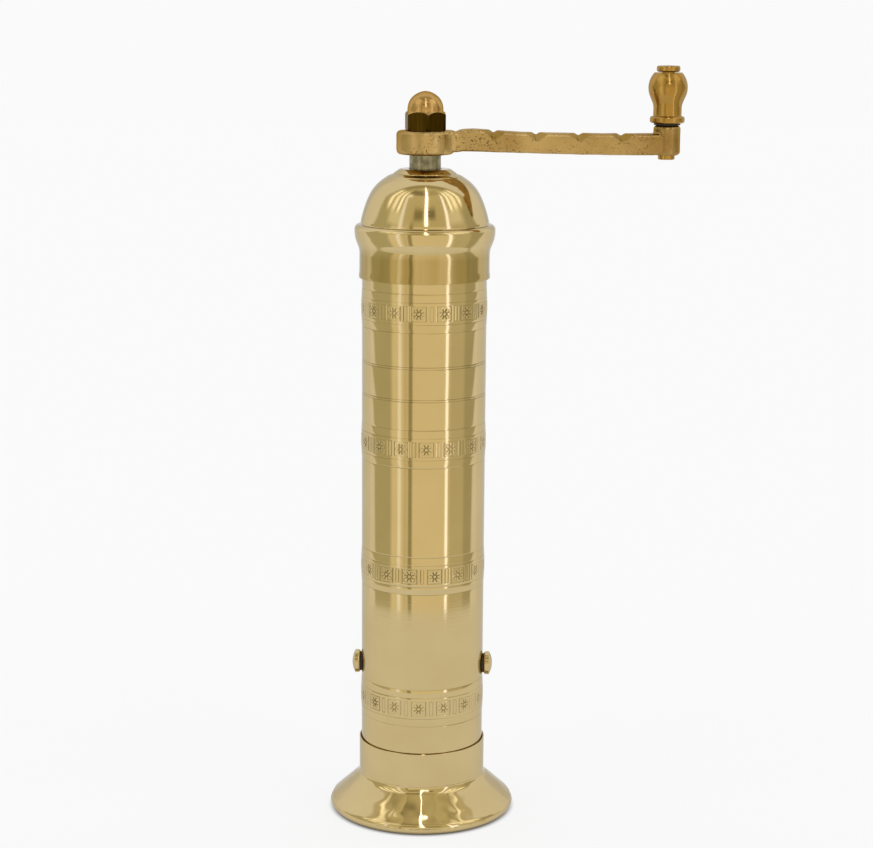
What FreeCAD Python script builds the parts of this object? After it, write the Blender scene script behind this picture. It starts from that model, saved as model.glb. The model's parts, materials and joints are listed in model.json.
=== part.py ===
import FreeCAD, Part
import math
import os

# Brass pepper mill with a crank on top. Millimetres, +Z up.
# The origin is the centre of the foot on the table, and the crank arm points along +X.

# Fits and clearances
press_gap = 0.02          # between two pieces that are pressed or soldered together
running_gap = 0.05        # between a turning or sliding piece and its bearing
thread_gap = 0.05         # between a plain-drawn thread and its nut

# Body tube
tube_radius = 18.6
tube_wall = 1.0
tube_length = 167.05
tube_end_margin = 0.6     # from the start of the foot's flare up to the tube's lower end

# Frieze bands rolled into the tube, and the plain double lines
low_band_gap = 14.2       # from the foot's collar up to the middle of the lowest band
high_band_gap = 8.6       # from the dome's skirt down to the middle of the highest band
band_shifts = (0.0, 1.1, -0.3, 0.0)   # how far each band is off its even spacing
band_line_offsets = (5.7, 3.25)
band_swell = 0.2
panel_drop = 0.85         # middle of the plain panel, below midway between the two upper bands
panel_height = 9.65
panel_line_spacing = 0.65
line_width = 0.3
line_depth = 0.12

# Foot
foot_flare_height = 12.2
foot_collar_length = 10.2
foot_collar_wall = 0.6
foot_sheet = 0.8
foot_fillet_radius = 3.0
foot_shoulder_radius = 2.0
foot_flare_width = 8.9    # from the collar out to the lip
foot_lip_height = 1.9     # widest place of the lip, which is rounded from there down to the table
foot_flat_width = 1.5

# Dome
dome_sheet = 0.85
dome_skirt_drop = 15.05
dome_skirt_straight = 7.1
dome_bead_overhang = 1.52
dome_bead_sweep_radius = 6.3
dome_bead_round = 10.0
dome_bead_flat = 0.3
dome_bead_edge = 1.6
dome_wall_inset = 0.35    # insets are from the skirt, rises from the tube's rim
dome_wall_step = 0.8
dome_flank_inset = 1.26
dome_flank_rise = 5.15
dome_shoulder_inset = 3.2
dome_shoulder_rise = 9.75
dome_crown_rise = 15.65
crown_margin = 0.1        # flat of the crown outside the bush's flange

# Bush in the dome
bush_wall = 1.5
bush_flange_width = 3.1
bush_flange_height = 1.45
bush_flange_round = 1.4
bush_barrel_drop = 7.0
bush_lip_width = 1.0
bush_lip_height = 1.0
bush_chamfer = 0.45

# Shaft and journal sleeve
shaft_radius = 4.0
shaft_square = 6.0
thread_relief = 0.05      # thread's radius, below half the square
journal_wall = 0.63
journal_overrun = 2.5     # sleeve runs this far below the bush
nut_thread_length = 8.2
square_shortfall = 0.3    # the upper square ends this far below the hub's top

# Crank
crank_gap = 4.55          # from the bush up to the hub
crank_length = 71.0
hub_radius = 8.6
hub_height = 6.7
hub_round = 1.3
arm_height = 6.3
arm_lift = 0.7            # arm's underside above the hub's underside, at the hub
arm_sag = 0.9             # how far the arm dips at its lowest section
arm_sag_place = 0.72      # place of that section, as a share of the crank's length
arm_width_hub = 10.0
arm_width_boss = 7.4
arm_round = 0.9
arm_stations = 7          # cross sections that the arm is shaped through
notch_first = 20.1        # from the shaft's axis
notch_pitch = 12.55
notch_count = 4
notch_depth_front = 2.5
notch_depth_back = 0.7
notch_half_angle = 54.0
boss_radius = 4.05
boss_height = 9.6
boss_drop = 0.9           # boss underside below the hub's underside
boss_round = 1.2

# Knob and its spindle
spindle_radius = 1.9
spindle_head_radius = 3.75
spindle_head_height = 1.9
spindle_head_round = 0.5
spindle_stub_radius = 2.45
spindle_stub_height = 1.0
spindle_stub_round = 0.25
knob_washer_radius = 3.9
knob_washer_height = 0.35
knob_play = 0.2           # at each end of the knob
knob_length = 14.65
knob_foot_radius = 5.09
knob_foot_height = 2.0
knob_foot_round = 0.65
knob_neck_radius = 4.15
knob_neck_height = 4.2
knob_neck_hollow = 5.0
knob_belly_round = 6.0
knob_belly_radius = 5.75
knob_belly_height = 10.2
knob_top_radius = 4.05

# Cap nut
nut_across_flats = 11.2
nut_hex_height = 5.4
nut_dome_inset = 0.6
nut_dome_wall = 1.2
nut_dome_rise = 4.6
nut_turn = 8.5            # degrees, how far a corner is turned from the front
nut_chamfer = 0.35
nut_bore_spare = 0.1      # above the shaft's end

# Ring burr in the tube
ring_height = 16.0
ring_throat_height = 9.0
ring_wall_bottom = 5.2    # walls are from the ring's outside to the tips of its teeth
ring_wall_throat = 8.0
ring_wall_top = 4.4
ring_teeth = 24
ring_tooth_depth = 0.7
ring_tooth_twist = 8.0

# Cone burr on the shaft
cone_floor_gap = 1.4
cone_roof_gap = 1.0
grind_gap = 0.46          # between the teeth at the cone's lower edge
feed_gap = 1.4            # between the teeth at the throat
cone_top_wall = 1.6
cone_teeth = 12
cone_tooth_depth = 1.0
cone_tooth_twist = 14.0
shaft_end_rise = 3.0      # shaft's lower end, above the cone's underside
square_spare = 0.2        # lower square runs on this far above the cone
pin_radius = 1.0
pin_grip = 1.0            # pin reaches this far past the shaft
pin_drop = 2.6            # below the cone's top

# Side screws
side_screw_rise = 9.1     # above the middle of the lowest band
ring_drop = 7.7           # ring's underside below the side screws
side_screw_angle = -2.3   # degrees about Z, turned towards the viewer
side_screw_radius = 2.0
side_screw_length = 5.6   # threaded shank, from the tube's surface inwards
side_head_radius = 3.55
side_head_rim = 0.9
side_head_height = 1.9
side_slot_width = 0.9
side_slot_depth = 0.8
side_washer_radius = 3.2
side_washer_height = 1.0
side_hole_gap = 0.15

# Guide bar and lower bridge, with their screws
bar_end_gap = 0.4         # from the tube's inner wall
guide_wall = 1.45         # beside the shaft
guide_thickness = 2.5
bridge_wall = 2.0         # beside the adjusting screw
bridge_thickness = 3.5
bar_head_gap = 0.3        # from a screw's head to the tube's inner wall
bar_screw_radius = 1.25
bar_screw_depth = 5.0     # of the hole in the ring
bar_tip_gap = 1.0         # from the screw's tip to the end of its hole
bar_head_radius = 2.1
bar_head_height = 1.6
bar_slot_width = 0.6
bar_slot_depth = 0.7

# Adjusting screw, thumb wheel, spring and ball
ball_radius = 2.0
ball_gap = 1.4            # between the screw's top and the shaft's end
ball_play = 0.02
adjuster_radius = 2.95
wheel_gap = 11.0          # between wheel and bridge
wheel_radius = 8.0
wheel_thickness = 4.0
wheel_ribs = 36
wheel_rib_depth = 0.4
wheel_rib_crest = 0.3     # shares of one rib and its gap
wheel_rib_flank = 0.2
adjuster_slot_width = 1.2
adjuster_slot_depth = 1.2
spring_radius = 4.4
spring_wire_radius = 0.45
spring_turns = 5
spring_pieces = 4         # pairs of arcs in one turn
spring_steps = 24         # points in one turn that the gap is measured on
spring_end_gap = 0.05

# Heights and radii that follow from the sizes above
tube_bore = tube_radius - tube_wall
tube_bottom = foot_flare_height + tube_end_margin
tube_top = tube_bottom + tube_length
collar_radius = tube_radius + press_gap + foot_collar_wall
collar_top = foot_flare_height + foot_collar_length
lip_radius = collar_radius + foot_flare_width
dome_bottom = tube_top - dome_skirt_drop
skirt_bore = tube_radius + running_gap
skirt_radius = skirt_bore + dome_sheet
bead_radius = skirt_radius + dome_bead_overhang
bead_edge_height = tube_top + dome_sheet - dome_bead_edge
bead_height = bead_edge_height - dome_bead_flat
dome_wall_radius = skirt_radius - dome_wall_inset
dome_wall_height = tube_top + dome_sheet + dome_wall_step
journal_radius = shaft_radius + press_gap + journal_wall
bush_bore = journal_radius + running_gap
barrel_radius = bush_bore + bush_wall
flange_radius = barrel_radius + bush_flange_width
crown_radius = flange_radius + crown_margin
crown_height = tube_top + dome_crown_rise
barrel_bottom = crown_height - bush_barrel_drop
bush_top = crown_height + bush_flange_height
hub_bottom = bush_top + crank_gap
hub_top = hub_bottom + hub_height
boss_bottom = hub_bottom - boss_drop
boss_top = boss_bottom + boss_height
washer_top = boss_top + knob_washer_height
knob_bottom = washer_top + knob_play
knob_top = knob_bottom + knob_length
thread_radius = shaft_square / 2 - thread_relief
thread_bottom = hub_top - square_shortfall
thread_top = thread_bottom + nut_thread_length
low_band = collar_top + low_band_gap
band_step = (dome_bottom - high_band_gap - low_band) / (len(band_shifts) - 1)
band_heights = [low_band + band_step * place + shift for place, shift in enumerate(band_shifts)]
band_reach = max(band_line_offsets)
panel_middle = (band_heights[-1] + band_heights[-2]) / 2 - panel_drop
side_screw_height = low_band + side_screw_rise
side_screw_seat = tube_radius + side_washer_height
side_screw_end = tube_radius - side_screw_length
ring_bottom = side_screw_height - ring_drop
ring_top = ring_bottom + ring_height
ring_throat = ring_bottom + ring_throat_height
ring_radius = tube_bore - press_gap
ring_bore_bottom = ring_radius - ring_wall_bottom
ring_bore_throat = ring_radius - ring_wall_throat
ring_bore_top = ring_radius - ring_wall_top
bar_screw_circle = tube_bore - bar_head_gap - bar_head_radius
bar_screw_hole = bar_screw_radius + press_gap
guide_top = ring_top + guide_thickness
bridge_bottom = ring_bottom - bridge_thickness
cone_bottom = ring_bottom + cone_floor_gap
cone_top = ring_top - cone_roof_gap
ring_slope = (ring_bore_bottom - ring_bore_throat) / ring_throat_height
cone_bottom_radius = ring_bore_bottom - ring_slope * cone_floor_gap - grind_gap
cone_shoulder_radius = ring_bore_throat - feed_gap
cone_top_radius = shaft_radius + cone_top_wall
pin_height = cone_top - pin_drop
square_end = cone_top + square_spare
shaft_bottom = cone_bottom + shaft_end_rise
adjuster_top = shaft_bottom - ball_gap
ball_height = (shaft_bottom + adjuster_top) / 2
socket_depth = ball_radius - ball_gap / 2 + ball_play
socket_radius = ball_radius + running_gap
wheel_top = bridge_bottom - wheel_gap
wheel_bottom = wheel_top - wheel_thickness

z_axis = FreeCAD.Vector(0, 0, 1)
origin = FreeCAD.Vector(0, 0, 0)
overshoot = 1.0           # how far a cutter runs past the face that it cuts
ogee_limit = 0.98         # share of the room that two arcs of an ogee may fill


def point(x, y, z):
    return FreeCAD.Vector(x, y, z)


class Profile:
    """A closed outline of radius and height, drawn point by point and turned about Z."""

    def __init__(self, radius, height):
        self.start = point(radius, 0, height)
        self.here = self.start
        self.edges = []

    def line(self, radius, height):
        end = point(radius, 0, height)
        self.edges.append(Part.LineSegment(self.here, end).toShape())
        self.here = end

    def arc(self, mid_radius, mid_height, radius, height):
        end = point(radius, 0, height)
        middle = point(mid_radius, 0, mid_height)
        edge = Part.Arc(self.here, middle, end).toShape()
        self.edges.append(edge)
        self.here = end
        return edge

    def corner(self, centre_radius, centre_height, size, first, last):
        """A round corner about a centre, between two angles in degrees from +R towards +Z."""
        middle = math.radians((first + last) / 2)
        final = math.radians(last)
        self.arc(centre_radius + size * math.cos(middle), centre_height + size * math.sin(middle),
                 centre_radius + size * math.cos(final), centre_height + size * math.sin(final))

    def tangent_arc(self, radius, height):
        """An arc that leaves in the direction in which the last edge arrived."""
        last = self.edges[-1]
        way = last.tangentAt(last.LastParameter)
        end = point(radius, 0, height)
        chord = end - self.here
        along = chord * (way.dot(chord) / chord.dot(chord))
        across = way - along
        half_turn = math.atan2(across.Length, along.Length) / 2
        bulge = across.normalize() * (chord.Length / 2 * math.tan(half_turn))
        middle = self.here + chord * 0.5 + bulge
        return self.arc(middle.x, middle.z, radius, height)

    def ball_cap(self, height):
        """Part of a ball, from here up to the axis."""
        rise = height - self.here.z
        ball = (self.here.x ** 2 + rise ** 2) / (2 * rise)
        half = self.here.x / 2
        self.arc(half, height - ball + math.sqrt(ball ** 2 - half ** 2), 0, height)

    def turned(self):
        self.line(self.start.x, self.start.z)
        face = Part.Face(Part.Wire(self.edges))
        return face.revolve(origin, z_axis, 360)


def ogee(run, rise, hollow, crown):
    """Radii of a hollow and a crown arc that fit the room, and the slope between them from the vertical."""
    room = (run ** 2 + rise ** 2) / (2 * run)
    scale = min(1, ogee_limit * room / (hollow + crown))
    both = (hollow + crown) * scale
    spare = run - both
    straight = math.sqrt(spare ** 2 + rise ** 2 - both ** 2)
    slope = math.atan2(rise * both + spare * straight, rise * straight - spare * both)
    return hollow * scale, crown * scale, slope


def under_arc(edge, share, depth):
    """The point at a depth under an arc, at a share of the way along it."""
    surface = edge.valueAt(edge.FirstParameter + (edge.LastParameter - edge.FirstParameter) * share)
    return surface + (edge.Curve.Center - surface).normalize() * depth


def cylinder(radius, bottom, top, x=0.0, y=0.0):
    return Part.makeCylinder(radius, top - bottom, point(x, y, bottom), z_axis)


def cross_cylinder(radius, first, last, height):
    """A cylinder along X."""
    return Part.makeCylinder(radius, last - first, point(first, 0, height), point(1, 0, 0))


def block(size_x, size_y, bottom, top, x=0.0, y=0.0):
    return Part.makeBox(size_x, size_y, top - bottom, point(x - size_x / 2, y - size_y / 2, bottom))


def turned_about_z(shape, degrees):
    copy = shape.copy()
    copy.rotate(origin, z_axis, degrees)
    return copy


def half_turn_pair(shape):
    """The shape and its copy on the other side of the axis, as separate solids."""
    return Part.makeCompound([shape, turned_about_z(shape, 180)])


def prism(points, bottom, top):
    """An upright prism on an outline of X and Y."""
    corners = [point(x, y, bottom) for x, y in points]
    face = Part.Face(Part.makePolygon(corners + corners[:1]))
    return face.extrude(point(0, 0, top - bottom))


def round_edged(radius, bottom, top, edge):
    """A disc with rounded upper and lower edges."""
    disc = Profile(0, bottom)
    disc.line(radius - edge, bottom)
    disc.corner(radius - edge, bottom + edge, edge, -90, 0)
    disc.line(radius, top - edge)
    disc.corner(radius - edge, top - edge, edge, 0, 90)
    disc.line(0, top)
    return disc.turned()


def square_bar(size, corner_radius, bottom, top):
    """A square bar whose corners are what is left of the round rod."""
    return block(size, size, bottom, top).common(cylinder(corner_radius, bottom, top))


def tooth_wire(tip, root, teeth, height, turn):
    """A saw-edged ring outline at one height."""
    corners = []
    for tooth in range(teeth):
        base = math.radians(turn + 360.0 * tooth / teeth)
        half = math.pi / teeth
        corners.append(point(root * math.cos(base), root * math.sin(base), height))
        corners.append(point(tip * math.cos(base + half), tip * math.sin(base + half), height))
    return Part.makePolygon(corners + corners[:1])


def tube_blank(gap):
    """All that lies inside the tube's outer surface and its swollen bands, enlarged by a gap."""
    radius = tube_radius + gap
    blank = Profile(0, tube_bottom)
    blank.line(radius, tube_bottom)
    for height in band_heights:
        blank.line(radius, height - band_reach)
        blank.arc(radius + band_swell, height, radius, height + band_reach)
    blank.line(radius, tube_top)
    blank.line(0, tube_top)
    return blank.turned()


def tube_surface(height):
    """Outer radius of the tube at a height, on the swell of a band or between bands."""
    for centre in band_heights:
        share = abs(height - centre) / band_reach
        if share < 1:
            return tube_radius + band_swell * (1 - share ** 2)
    return tube_radius


def engraved_heights():
    heights = []
    for edge in (-panel_height / 2, panel_height / 2):
        for line in (-panel_line_spacing / 2, panel_line_spacing / 2):
            heights.append(panel_middle + edge + line)
    for height in band_heights:
        for offset in band_line_offsets:
            heights.extend((height - offset, height + offset))
    return heights


def engraved_line(height):
    surface = tube_surface(height)
    line = Profile(surface - line_depth, height)
    line.line(surface + line_depth, height - line_width)
    line.line(surface + line_depth, height + line_width)
    return line.turned()


def body_tube():
    tube = tube_blank(0).cut(cylinder(tube_bore, tube_bottom - overshoot, tube_top + overshoot))
    tube = tube.cut(Part.makeCompound([engraved_line(height) for height in engraved_heights()]))
    reach = tube_radius + overshoot
    hole = cross_cylinder(side_screw_radius + side_hole_gap, -reach, reach, side_screw_height)
    return tube.cut(turned_about_z(hole, side_screw_angle))


def foot_skirt():
    bore = tube_radius + press_gap
    fillet, shoulder, slope = ogee(foot_flare_width, foot_flare_height - foot_lip_height,
                                   foot_fillet_radius, foot_shoulder_radius)
    degrees = math.degrees(slope)
    sine = math.sin(slope)
    cosine = math.cos(slope)
    hollow = collar_radius + fillet
    crown = lip_radius - shoulder
    lip_centre = lip_radius - foot_lip_height
    flat_edge = lip_centre - foot_flat_width
    inner_fillet = fillet + foot_sheet
    inner_top = foot_flare_height - inner_fillet * sine
    inner_top_radius = hollow - inner_fillet * cosine
    inner_bottom = inner_top - (flat_edge - inner_top_radius) * cosine / sine
    foot = Profile(collar_radius, collar_top)
    foot.line(collar_radius, foot_flare_height)
    foot.corner(hollow, foot_flare_height, fillet, 180, 180 + degrees)
    foot.line(crown + shoulder * cosine, foot_lip_height + shoulder * sine)
    foot.corner(crown, foot_lip_height, shoulder, degrees, 0)
    foot.corner(lip_centre, foot_lip_height, foot_lip_height, 0, -90)
    foot.line(flat_edge, 0)
    foot.line(flat_edge, inner_bottom)
    foot.line(inner_top_radius, inner_top)
    foot.corner(hollow, foot_flare_height, inner_fillet, 180 + degrees, 180)
    foot.line(bore, tube_bottom)
    foot.line(bore, collar_top)
    return foot.turned()


def dome_cap():
    sweep_start = dome_bottom + dome_skirt_straight
    sweep, bead_round, slope = ogee(dome_bead_overhang, bead_height - sweep_start,
                                    dome_bead_sweep_radius, dome_bead_round)
    degrees = math.degrees(slope)
    sine = math.sin(slope)
    cosine = math.cos(slope)
    hollow = skirt_radius + sweep
    round_centre = bead_radius - bead_round
    edge_centre = bead_radius - dome_bead_edge
    inner_sweep = sweep + dome_sheet
    hole = barrel_radius + press_gap
    dome = Profile(skirt_bore, dome_bottom)
    dome.line(skirt_radius, dome_bottom)
    dome.line(skirt_radius, sweep_start)
    dome.corner(hollow, sweep_start, sweep, 180, 180 - degrees)
    dome.line(round_centre + bead_round * cosine, bead_height - bead_round * sine)
    dome.corner(round_centre, bead_height, bead_round, -degrees, 0)
    dome.line(bead_radius, bead_edge_height)
    dome.corner(edge_centre, bead_edge_height, dome_bead_edge, 0, 90)
    dome.line(dome_wall_radius, dome_wall_height)
    flank = dome.arc(skirt_radius - dome_flank_inset, tube_top + dome_flank_rise,
                     skirt_radius - dome_shoulder_inset, tube_top + dome_shoulder_rise)
    shoulder = dome.tangent_arc(crown_radius, crown_height)
    dome.line(hole, crown_height)
    dome.line(hole, crown_height - dome_sheet)
    under_crown = under_arc(shoulder, 1, dome_sheet)
    dome.line(under_crown.x, under_crown.z)
    for outer in (shoulder, flank):
        middle = under_arc(outer, 0.5, dome_sheet)
        end = under_arc(outer, 0, dome_sheet)
        dome.arc(middle.x, middle.z, end.x, end.z)
    dome.line(dome_wall_radius - dome_sheet, tube_top)
    dome.line(edge_centre, tube_top)
    dome.corner(edge_centre, bead_edge_height, dome_bead_edge - dome_sheet, 90, 0)
    dome.line(bead_radius - dome_sheet, bead_height)
    dome.corner(round_centre, bead_height, bead_round - dome_sheet, 0, -degrees)
    dome.line(hollow - inner_sweep * cosine, sweep_start + inner_sweep * sine)
    dome.corner(hollow, sweep_start, inner_sweep, 180 - degrees, 180)
    return dome.turned()


def dome_bush():
    lip_top = crown_height - dome_sheet
    lip_bottom = lip_top - bush_lip_height
    lip_radius = barrel_radius + bush_lip_width
    edge = min(bush_flange_round, bush_flange_height)
    bush = Profile(bush_bore, barrel_bottom)
    bush.line(barrel_radius, barrel_bottom)
    bush.line(barrel_radius, lip_bottom)
    bush.line(lip_radius, lip_bottom)
    bush.line(lip_radius, lip_top)
    bush.line(barrel_radius, lip_top)
    bush.line(barrel_radius, crown_height)
    bush.line(flange_radius, crown_height)
    bush.line(flange_radius, bush_top - edge)
    bush.corner(flange_radius - edge, bush_top - edge, edge, 0, 90)
    bush.line(bush_bore + bush_chamfer, bush_top)
    bush.line(bush_bore, bush_top - bush_chamfer)
    return bush.turned()


def drive_shaft():
    shaft = square_bar(shaft_square, shaft_radius, shaft_bottom, square_end)
    shaft = shaft.fuse(cylinder(shaft_radius, square_end, hub_bottom))
    shaft = shaft.fuse(square_bar(shaft_square, shaft_radius, hub_bottom, thread_bottom))
    shaft = shaft.fuse(cylinder(thread_radius, thread_bottom, thread_top))
    socket = cylinder(socket_radius, shaft_bottom - overshoot, shaft_bottom + socket_depth)
    return shaft.cut(socket).cut(pin_hole()).removeSplitter()


def journal_sleeve():
    bottom = barrel_bottom - journal_overrun
    bore = cylinder(shaft_radius + press_gap, bottom - overshoot, hub_bottom + overshoot)
    return cylinder(journal_radius, bottom, hub_bottom).cut(bore)


def burr_cone():
    radii = (cone_bottom_radius, cone_shoulder_radius, cone_top_radius)
    heights = (cone_bottom, ring_throat, cone_top)
    sections = []
    for level, radius in enumerate(radii):
        turn = level * cone_tooth_twist
        sections.append(tooth_wire(radius - cone_tooth_depth, radius, cone_teeth, heights[level], turn))
    cone = Part.makeLoft(sections, True, True)
    size = shaft_square + 2 * press_gap
    hole = square_bar(size, shaft_radius + press_gap, cone_bottom - overshoot, cone_top + overshoot)
    return cone.cut(hole).cut(pin_hole())


def pin_hole():
    reach = cone_bottom_radius
    return cross_cylinder(pin_radius + press_gap, -reach, reach, pin_height)


def burr_pin():
    reach = shaft_radius + pin_grip
    return cross_cylinder(pin_radius, -reach, reach, pin_height)


def ring_burr():
    radii = (ring_bore_bottom, ring_bore_throat, ring_bore_top)
    heights = (ring_bottom, ring_throat, ring_top)
    sections = []
    for level, radius in enumerate(radii):
        turn = -level * ring_tooth_twist
        sections.append(tooth_wire(radius, radius + ring_tooth_depth, ring_teeth, heights[level], turn))
    ring = cylinder(ring_radius, ring_bottom, ring_top).cut(Part.makeLoft(sections, True, True))
    lower_end = ring_bottom + bar_screw_depth
    upper_end = ring_top - bar_screw_depth
    for y in (-bar_screw_circle, bar_screw_circle):
        ring = ring.cut(cylinder(bar_screw_hole, ring_bottom - overshoot, lower_end, 0, y))
        ring = ring.cut(cylinder(bar_screw_hole, upper_end, ring_top + overshoot, 0, y))
    hole_radius = side_screw_radius + press_gap
    hole = cross_cylinder(hole_radius, side_screw_end - press_gap, tube_radius, side_screw_height)
    return ring.cut(half_turn_pair(turned_about_z(hole, side_screw_angle)))


def side_washers():
    washer = cross_cylinder(side_washer_radius, 0, side_screw_seat, side_screw_height)
    hole_radius = side_screw_radius + press_gap
    hole = cross_cylinder(hole_radius, 0, side_screw_seat + overshoot, side_screw_height)
    washer = washer.cut(hole).cut(tube_blank(press_gap))
    return half_turn_pair(turned_about_z(washer, side_screw_angle))


def side_screws():
    head = Profile(0, 0)
    head.line(side_head_radius, 0)
    head.line(side_head_radius, side_head_rim)
    head.ball_cap(side_head_height)
    screw = head.turned().fuse(cylinder(side_screw_radius, side_screw_end - side_screw_seat, 0))
    across = 2 * side_head_radius + overshoot
    slot_floor = side_head_height - side_slot_depth
    screw = screw.cut(block(across, side_slot_width, slot_floor, side_head_height + overshoot))
    screw.rotate(origin, point(0, 1, 0), 90)
    screw.translate(point(side_screw_seat, 0, side_screw_height))
    return half_turn_pair(turned_about_z(screw, side_screw_angle))


def cross_bar(wall, bottom, top, bore):
    """A flat bar across the tube, along Y, with a middle hole and a screw hole near each end."""
    reach = tube_bore - bar_end_gap
    bar = block(2 * (bore + wall), 2 * reach, bottom, top).common(cylinder(reach, bottom, top))
    bar = bar.cut(cylinder(bore, bottom - overshoot, top + overshoot))
    for y in (-bar_screw_circle, bar_screw_circle):
        bar = bar.cut(cylinder(bar_screw_hole, bottom - overshoot, top + overshoot, 0, y))
    return bar


def guide_bar():
    return cross_bar(guide_wall, ring_top, guide_top, shaft_radius + running_gap)


def lower_bridge():
    return cross_bar(bridge_wall, bridge_bottom, ring_bottom, adjuster_radius + thread_gap)


def bar_screws(seat, clamped):
    """Two slotted screws on top of a bar of a given thickness."""
    y = bar_screw_circle
    head_top = seat + bar_head_height
    shank_bottom = seat - clamped - bar_screw_depth + bar_tip_gap
    screw = cylinder(bar_screw_radius, shank_bottom, seat, 0, y)
    screw = screw.fuse(cylinder(bar_head_radius, seat, head_top, 0, y))
    across = 2 * bar_head_radius + overshoot
    slot = block(across, bar_slot_width, head_top - bar_slot_depth, head_top + overshoot, 0, y)
    return half_turn_pair(screw.cut(slot))


def guide_screws():
    return bar_screws(guide_top, guide_thickness)


def bridge_screws():
    screws = bar_screws(-bridge_bottom, bridge_thickness)
    screws.rotate(origin, point(1, 0, 0), 180)
    return screws


def thrust_ball():
    return Part.makeSphere(ball_radius, point(0, 0, ball_height))


def adjusting_screw():
    screw = cylinder(adjuster_radius, wheel_bottom, adjuster_top)
    cup = cylinder(socket_radius, adjuster_top - socket_depth, adjuster_top + overshoot)
    across = 2 * adjuster_radius + overshoot
    slot = block(across, adjuster_slot_width, wheel_bottom - overshoot, wheel_bottom + adjuster_slot_depth)
    return screw.cut(cup).cut(slot)


def adjuster_wheel():
    valley = wheel_radius - wheel_rib_depth
    radii = (wheel_radius, wheel_radius, valley, valley)
    shares = (0, wheel_rib_crest, wheel_rib_crest + wheel_rib_flank, 1 - wheel_rib_flank)
    corners = []
    for rib in range(wheel_ribs):
        for share, radius in zip(shares, radii):
            angle = 2 * math.pi * (rib + share) / wheel_ribs
            corners.append((radius * math.cos(angle), radius * math.sin(angle)))
    wheel = prism(corners, wheel_bottom, wheel_top)
    return wheel.cut(cylinder(adjuster_radius + press_gap, wheel_bottom - overshoot, wheel_top + overshoot))


def spring_point(turn):
    """Place and direction on the spring's centre line, after a number of turns."""
    bottom = wheel_top + spring_wire_radius + spring_end_gap
    pitch = (wheel_gap - 2 * (spring_wire_radius + spring_end_gap)) / spring_turns
    angle = 2 * math.pi * turn
    place = point(spring_radius * math.cos(angle), spring_radius * math.sin(angle), bottom + pitch * turn)
    way = point(-spring_radius * math.sin(angle), spring_radius * math.cos(angle), pitch / (2 * math.pi))
    return place, way.normalize()


def corner_arc(start, corner, end):
    """The arc from start to end that is tangent to the lines to a corner between them."""
    middle = (start + end) * 0.5
    rise = corner - middle
    half_chord = (end - start).Length / 2
    half_turn = math.atan2(rise.Length, half_chord)
    top = middle + rise.normalize() * (half_chord * math.tan(half_turn / 2))
    return Part.Arc(start, top, end).toShape()


def two_arcs(start, start_way, end, end_way):
    """Two arcs that leave start and reach end in the given directions and meet smoothly."""
    span = end - start
    ways = start_way + end_way
    slack = 4 - ways.dot(ways)
    pull = span.dot(ways)
    reach = (math.sqrt(pull ** 2 + slack * span.dot(span)) - pull) / slack
    first_corner = start + start_way * reach
    last_corner = end - end_way * reach
    joint = (first_corner + last_corner) * 0.5
    return [corner_arc(start, first_corner, joint), corner_arc(joint, last_corner, end)]


def spring_self_gap():
    """Least gap between neighbouring turns, measured on points of the centre line."""
    places = [spring_point(step / spring_steps)[0] for step in range(spring_steps * spring_turns)]
    least = wheel_gap
    for index, place in enumerate(places):
        for other in places[index + spring_steps // 2:]:
            least = min(least, (other - place).Length)
    return least - 2 * spring_wire_radius


def adjuster_spring():
    edges = []
    for piece in range(spring_pieces * spring_turns):
        start, start_way = spring_point(piece / spring_pieces)
        end, end_way = spring_point((piece + 1) / spring_pieces)
        edges.extend(two_arcs(start, start_way, end, end_way))
    start, start_way = spring_point(0)
    section = Part.Wire(Part.Circle(start, start_way, spring_wire_radius).toShape())
    print("spring turns clear each other by %.2f mm" % spring_self_gap())
    return Part.Wire(edges).makePipeShell([section], True, False)


def arm_bottom(x):
    """Height of the arm's underside: it dips towards the knob and rises again at the boss."""
    share = x / crank_length / arm_sag_place
    return hub_bottom + arm_lift - arm_sag * (1 - (1 - share) ** 2)


def arm_width(x):
    return arm_width_hub + (arm_width_boss - arm_width_hub) * x / crank_length


def arm_section(x):
    """A rounded rectangle across the crank arm."""
    side = arm_width(x) / 2 - arm_round
    low = arm_bottom(x) + arm_round
    high = arm_bottom(x) + arm_height - arm_round
    centres = ((side, low), (side, high), (-side, high), (-side, low))
    here = round_place(x, -side, low, -90)
    edges = []
    for corner, (y, z) in enumerate(centres):
        turn = 90 * corner - 90
        start = round_place(x, y, z, turn)
        middle = round_place(x, y, z, turn + 45)
        end = round_place(x, y, z, turn + 90)
        edges.append(Part.LineSegment(here, start).toShape())
        edges.append(Part.Arc(start, middle, end).toShape())
        here = end
    return Part.Wire(edges)


def round_place(x, y, z, turn):
    """A point on a rounded edge of the arm, at an angle about the edge's centre line."""
    angle = math.radians(turn)
    return point(x, y + arm_round * math.cos(angle), z + arm_round * math.sin(angle))


def notch(place):
    """A V cut across the top of the arm, deep at the front and shallow at the back."""
    half = arm_width(place) / 2
    fall = (notch_depth_front - notch_depth_back) / (2 * half)
    reach = half + overshoot
    spread = arm_height * math.tan(math.radians(notch_half_angle))
    front = point(place, -reach, arm_bottom(place) + arm_height - notch_depth_front - fall * overshoot)
    right = front + point(spread, 0, arm_height)
    left = front + point(-spread, 0, arm_height)
    face = Part.Face(Part.makePolygon([front, right, left, front]))
    return face.extrude(point(0, 2 * reach, fall * 2 * reach))


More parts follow.
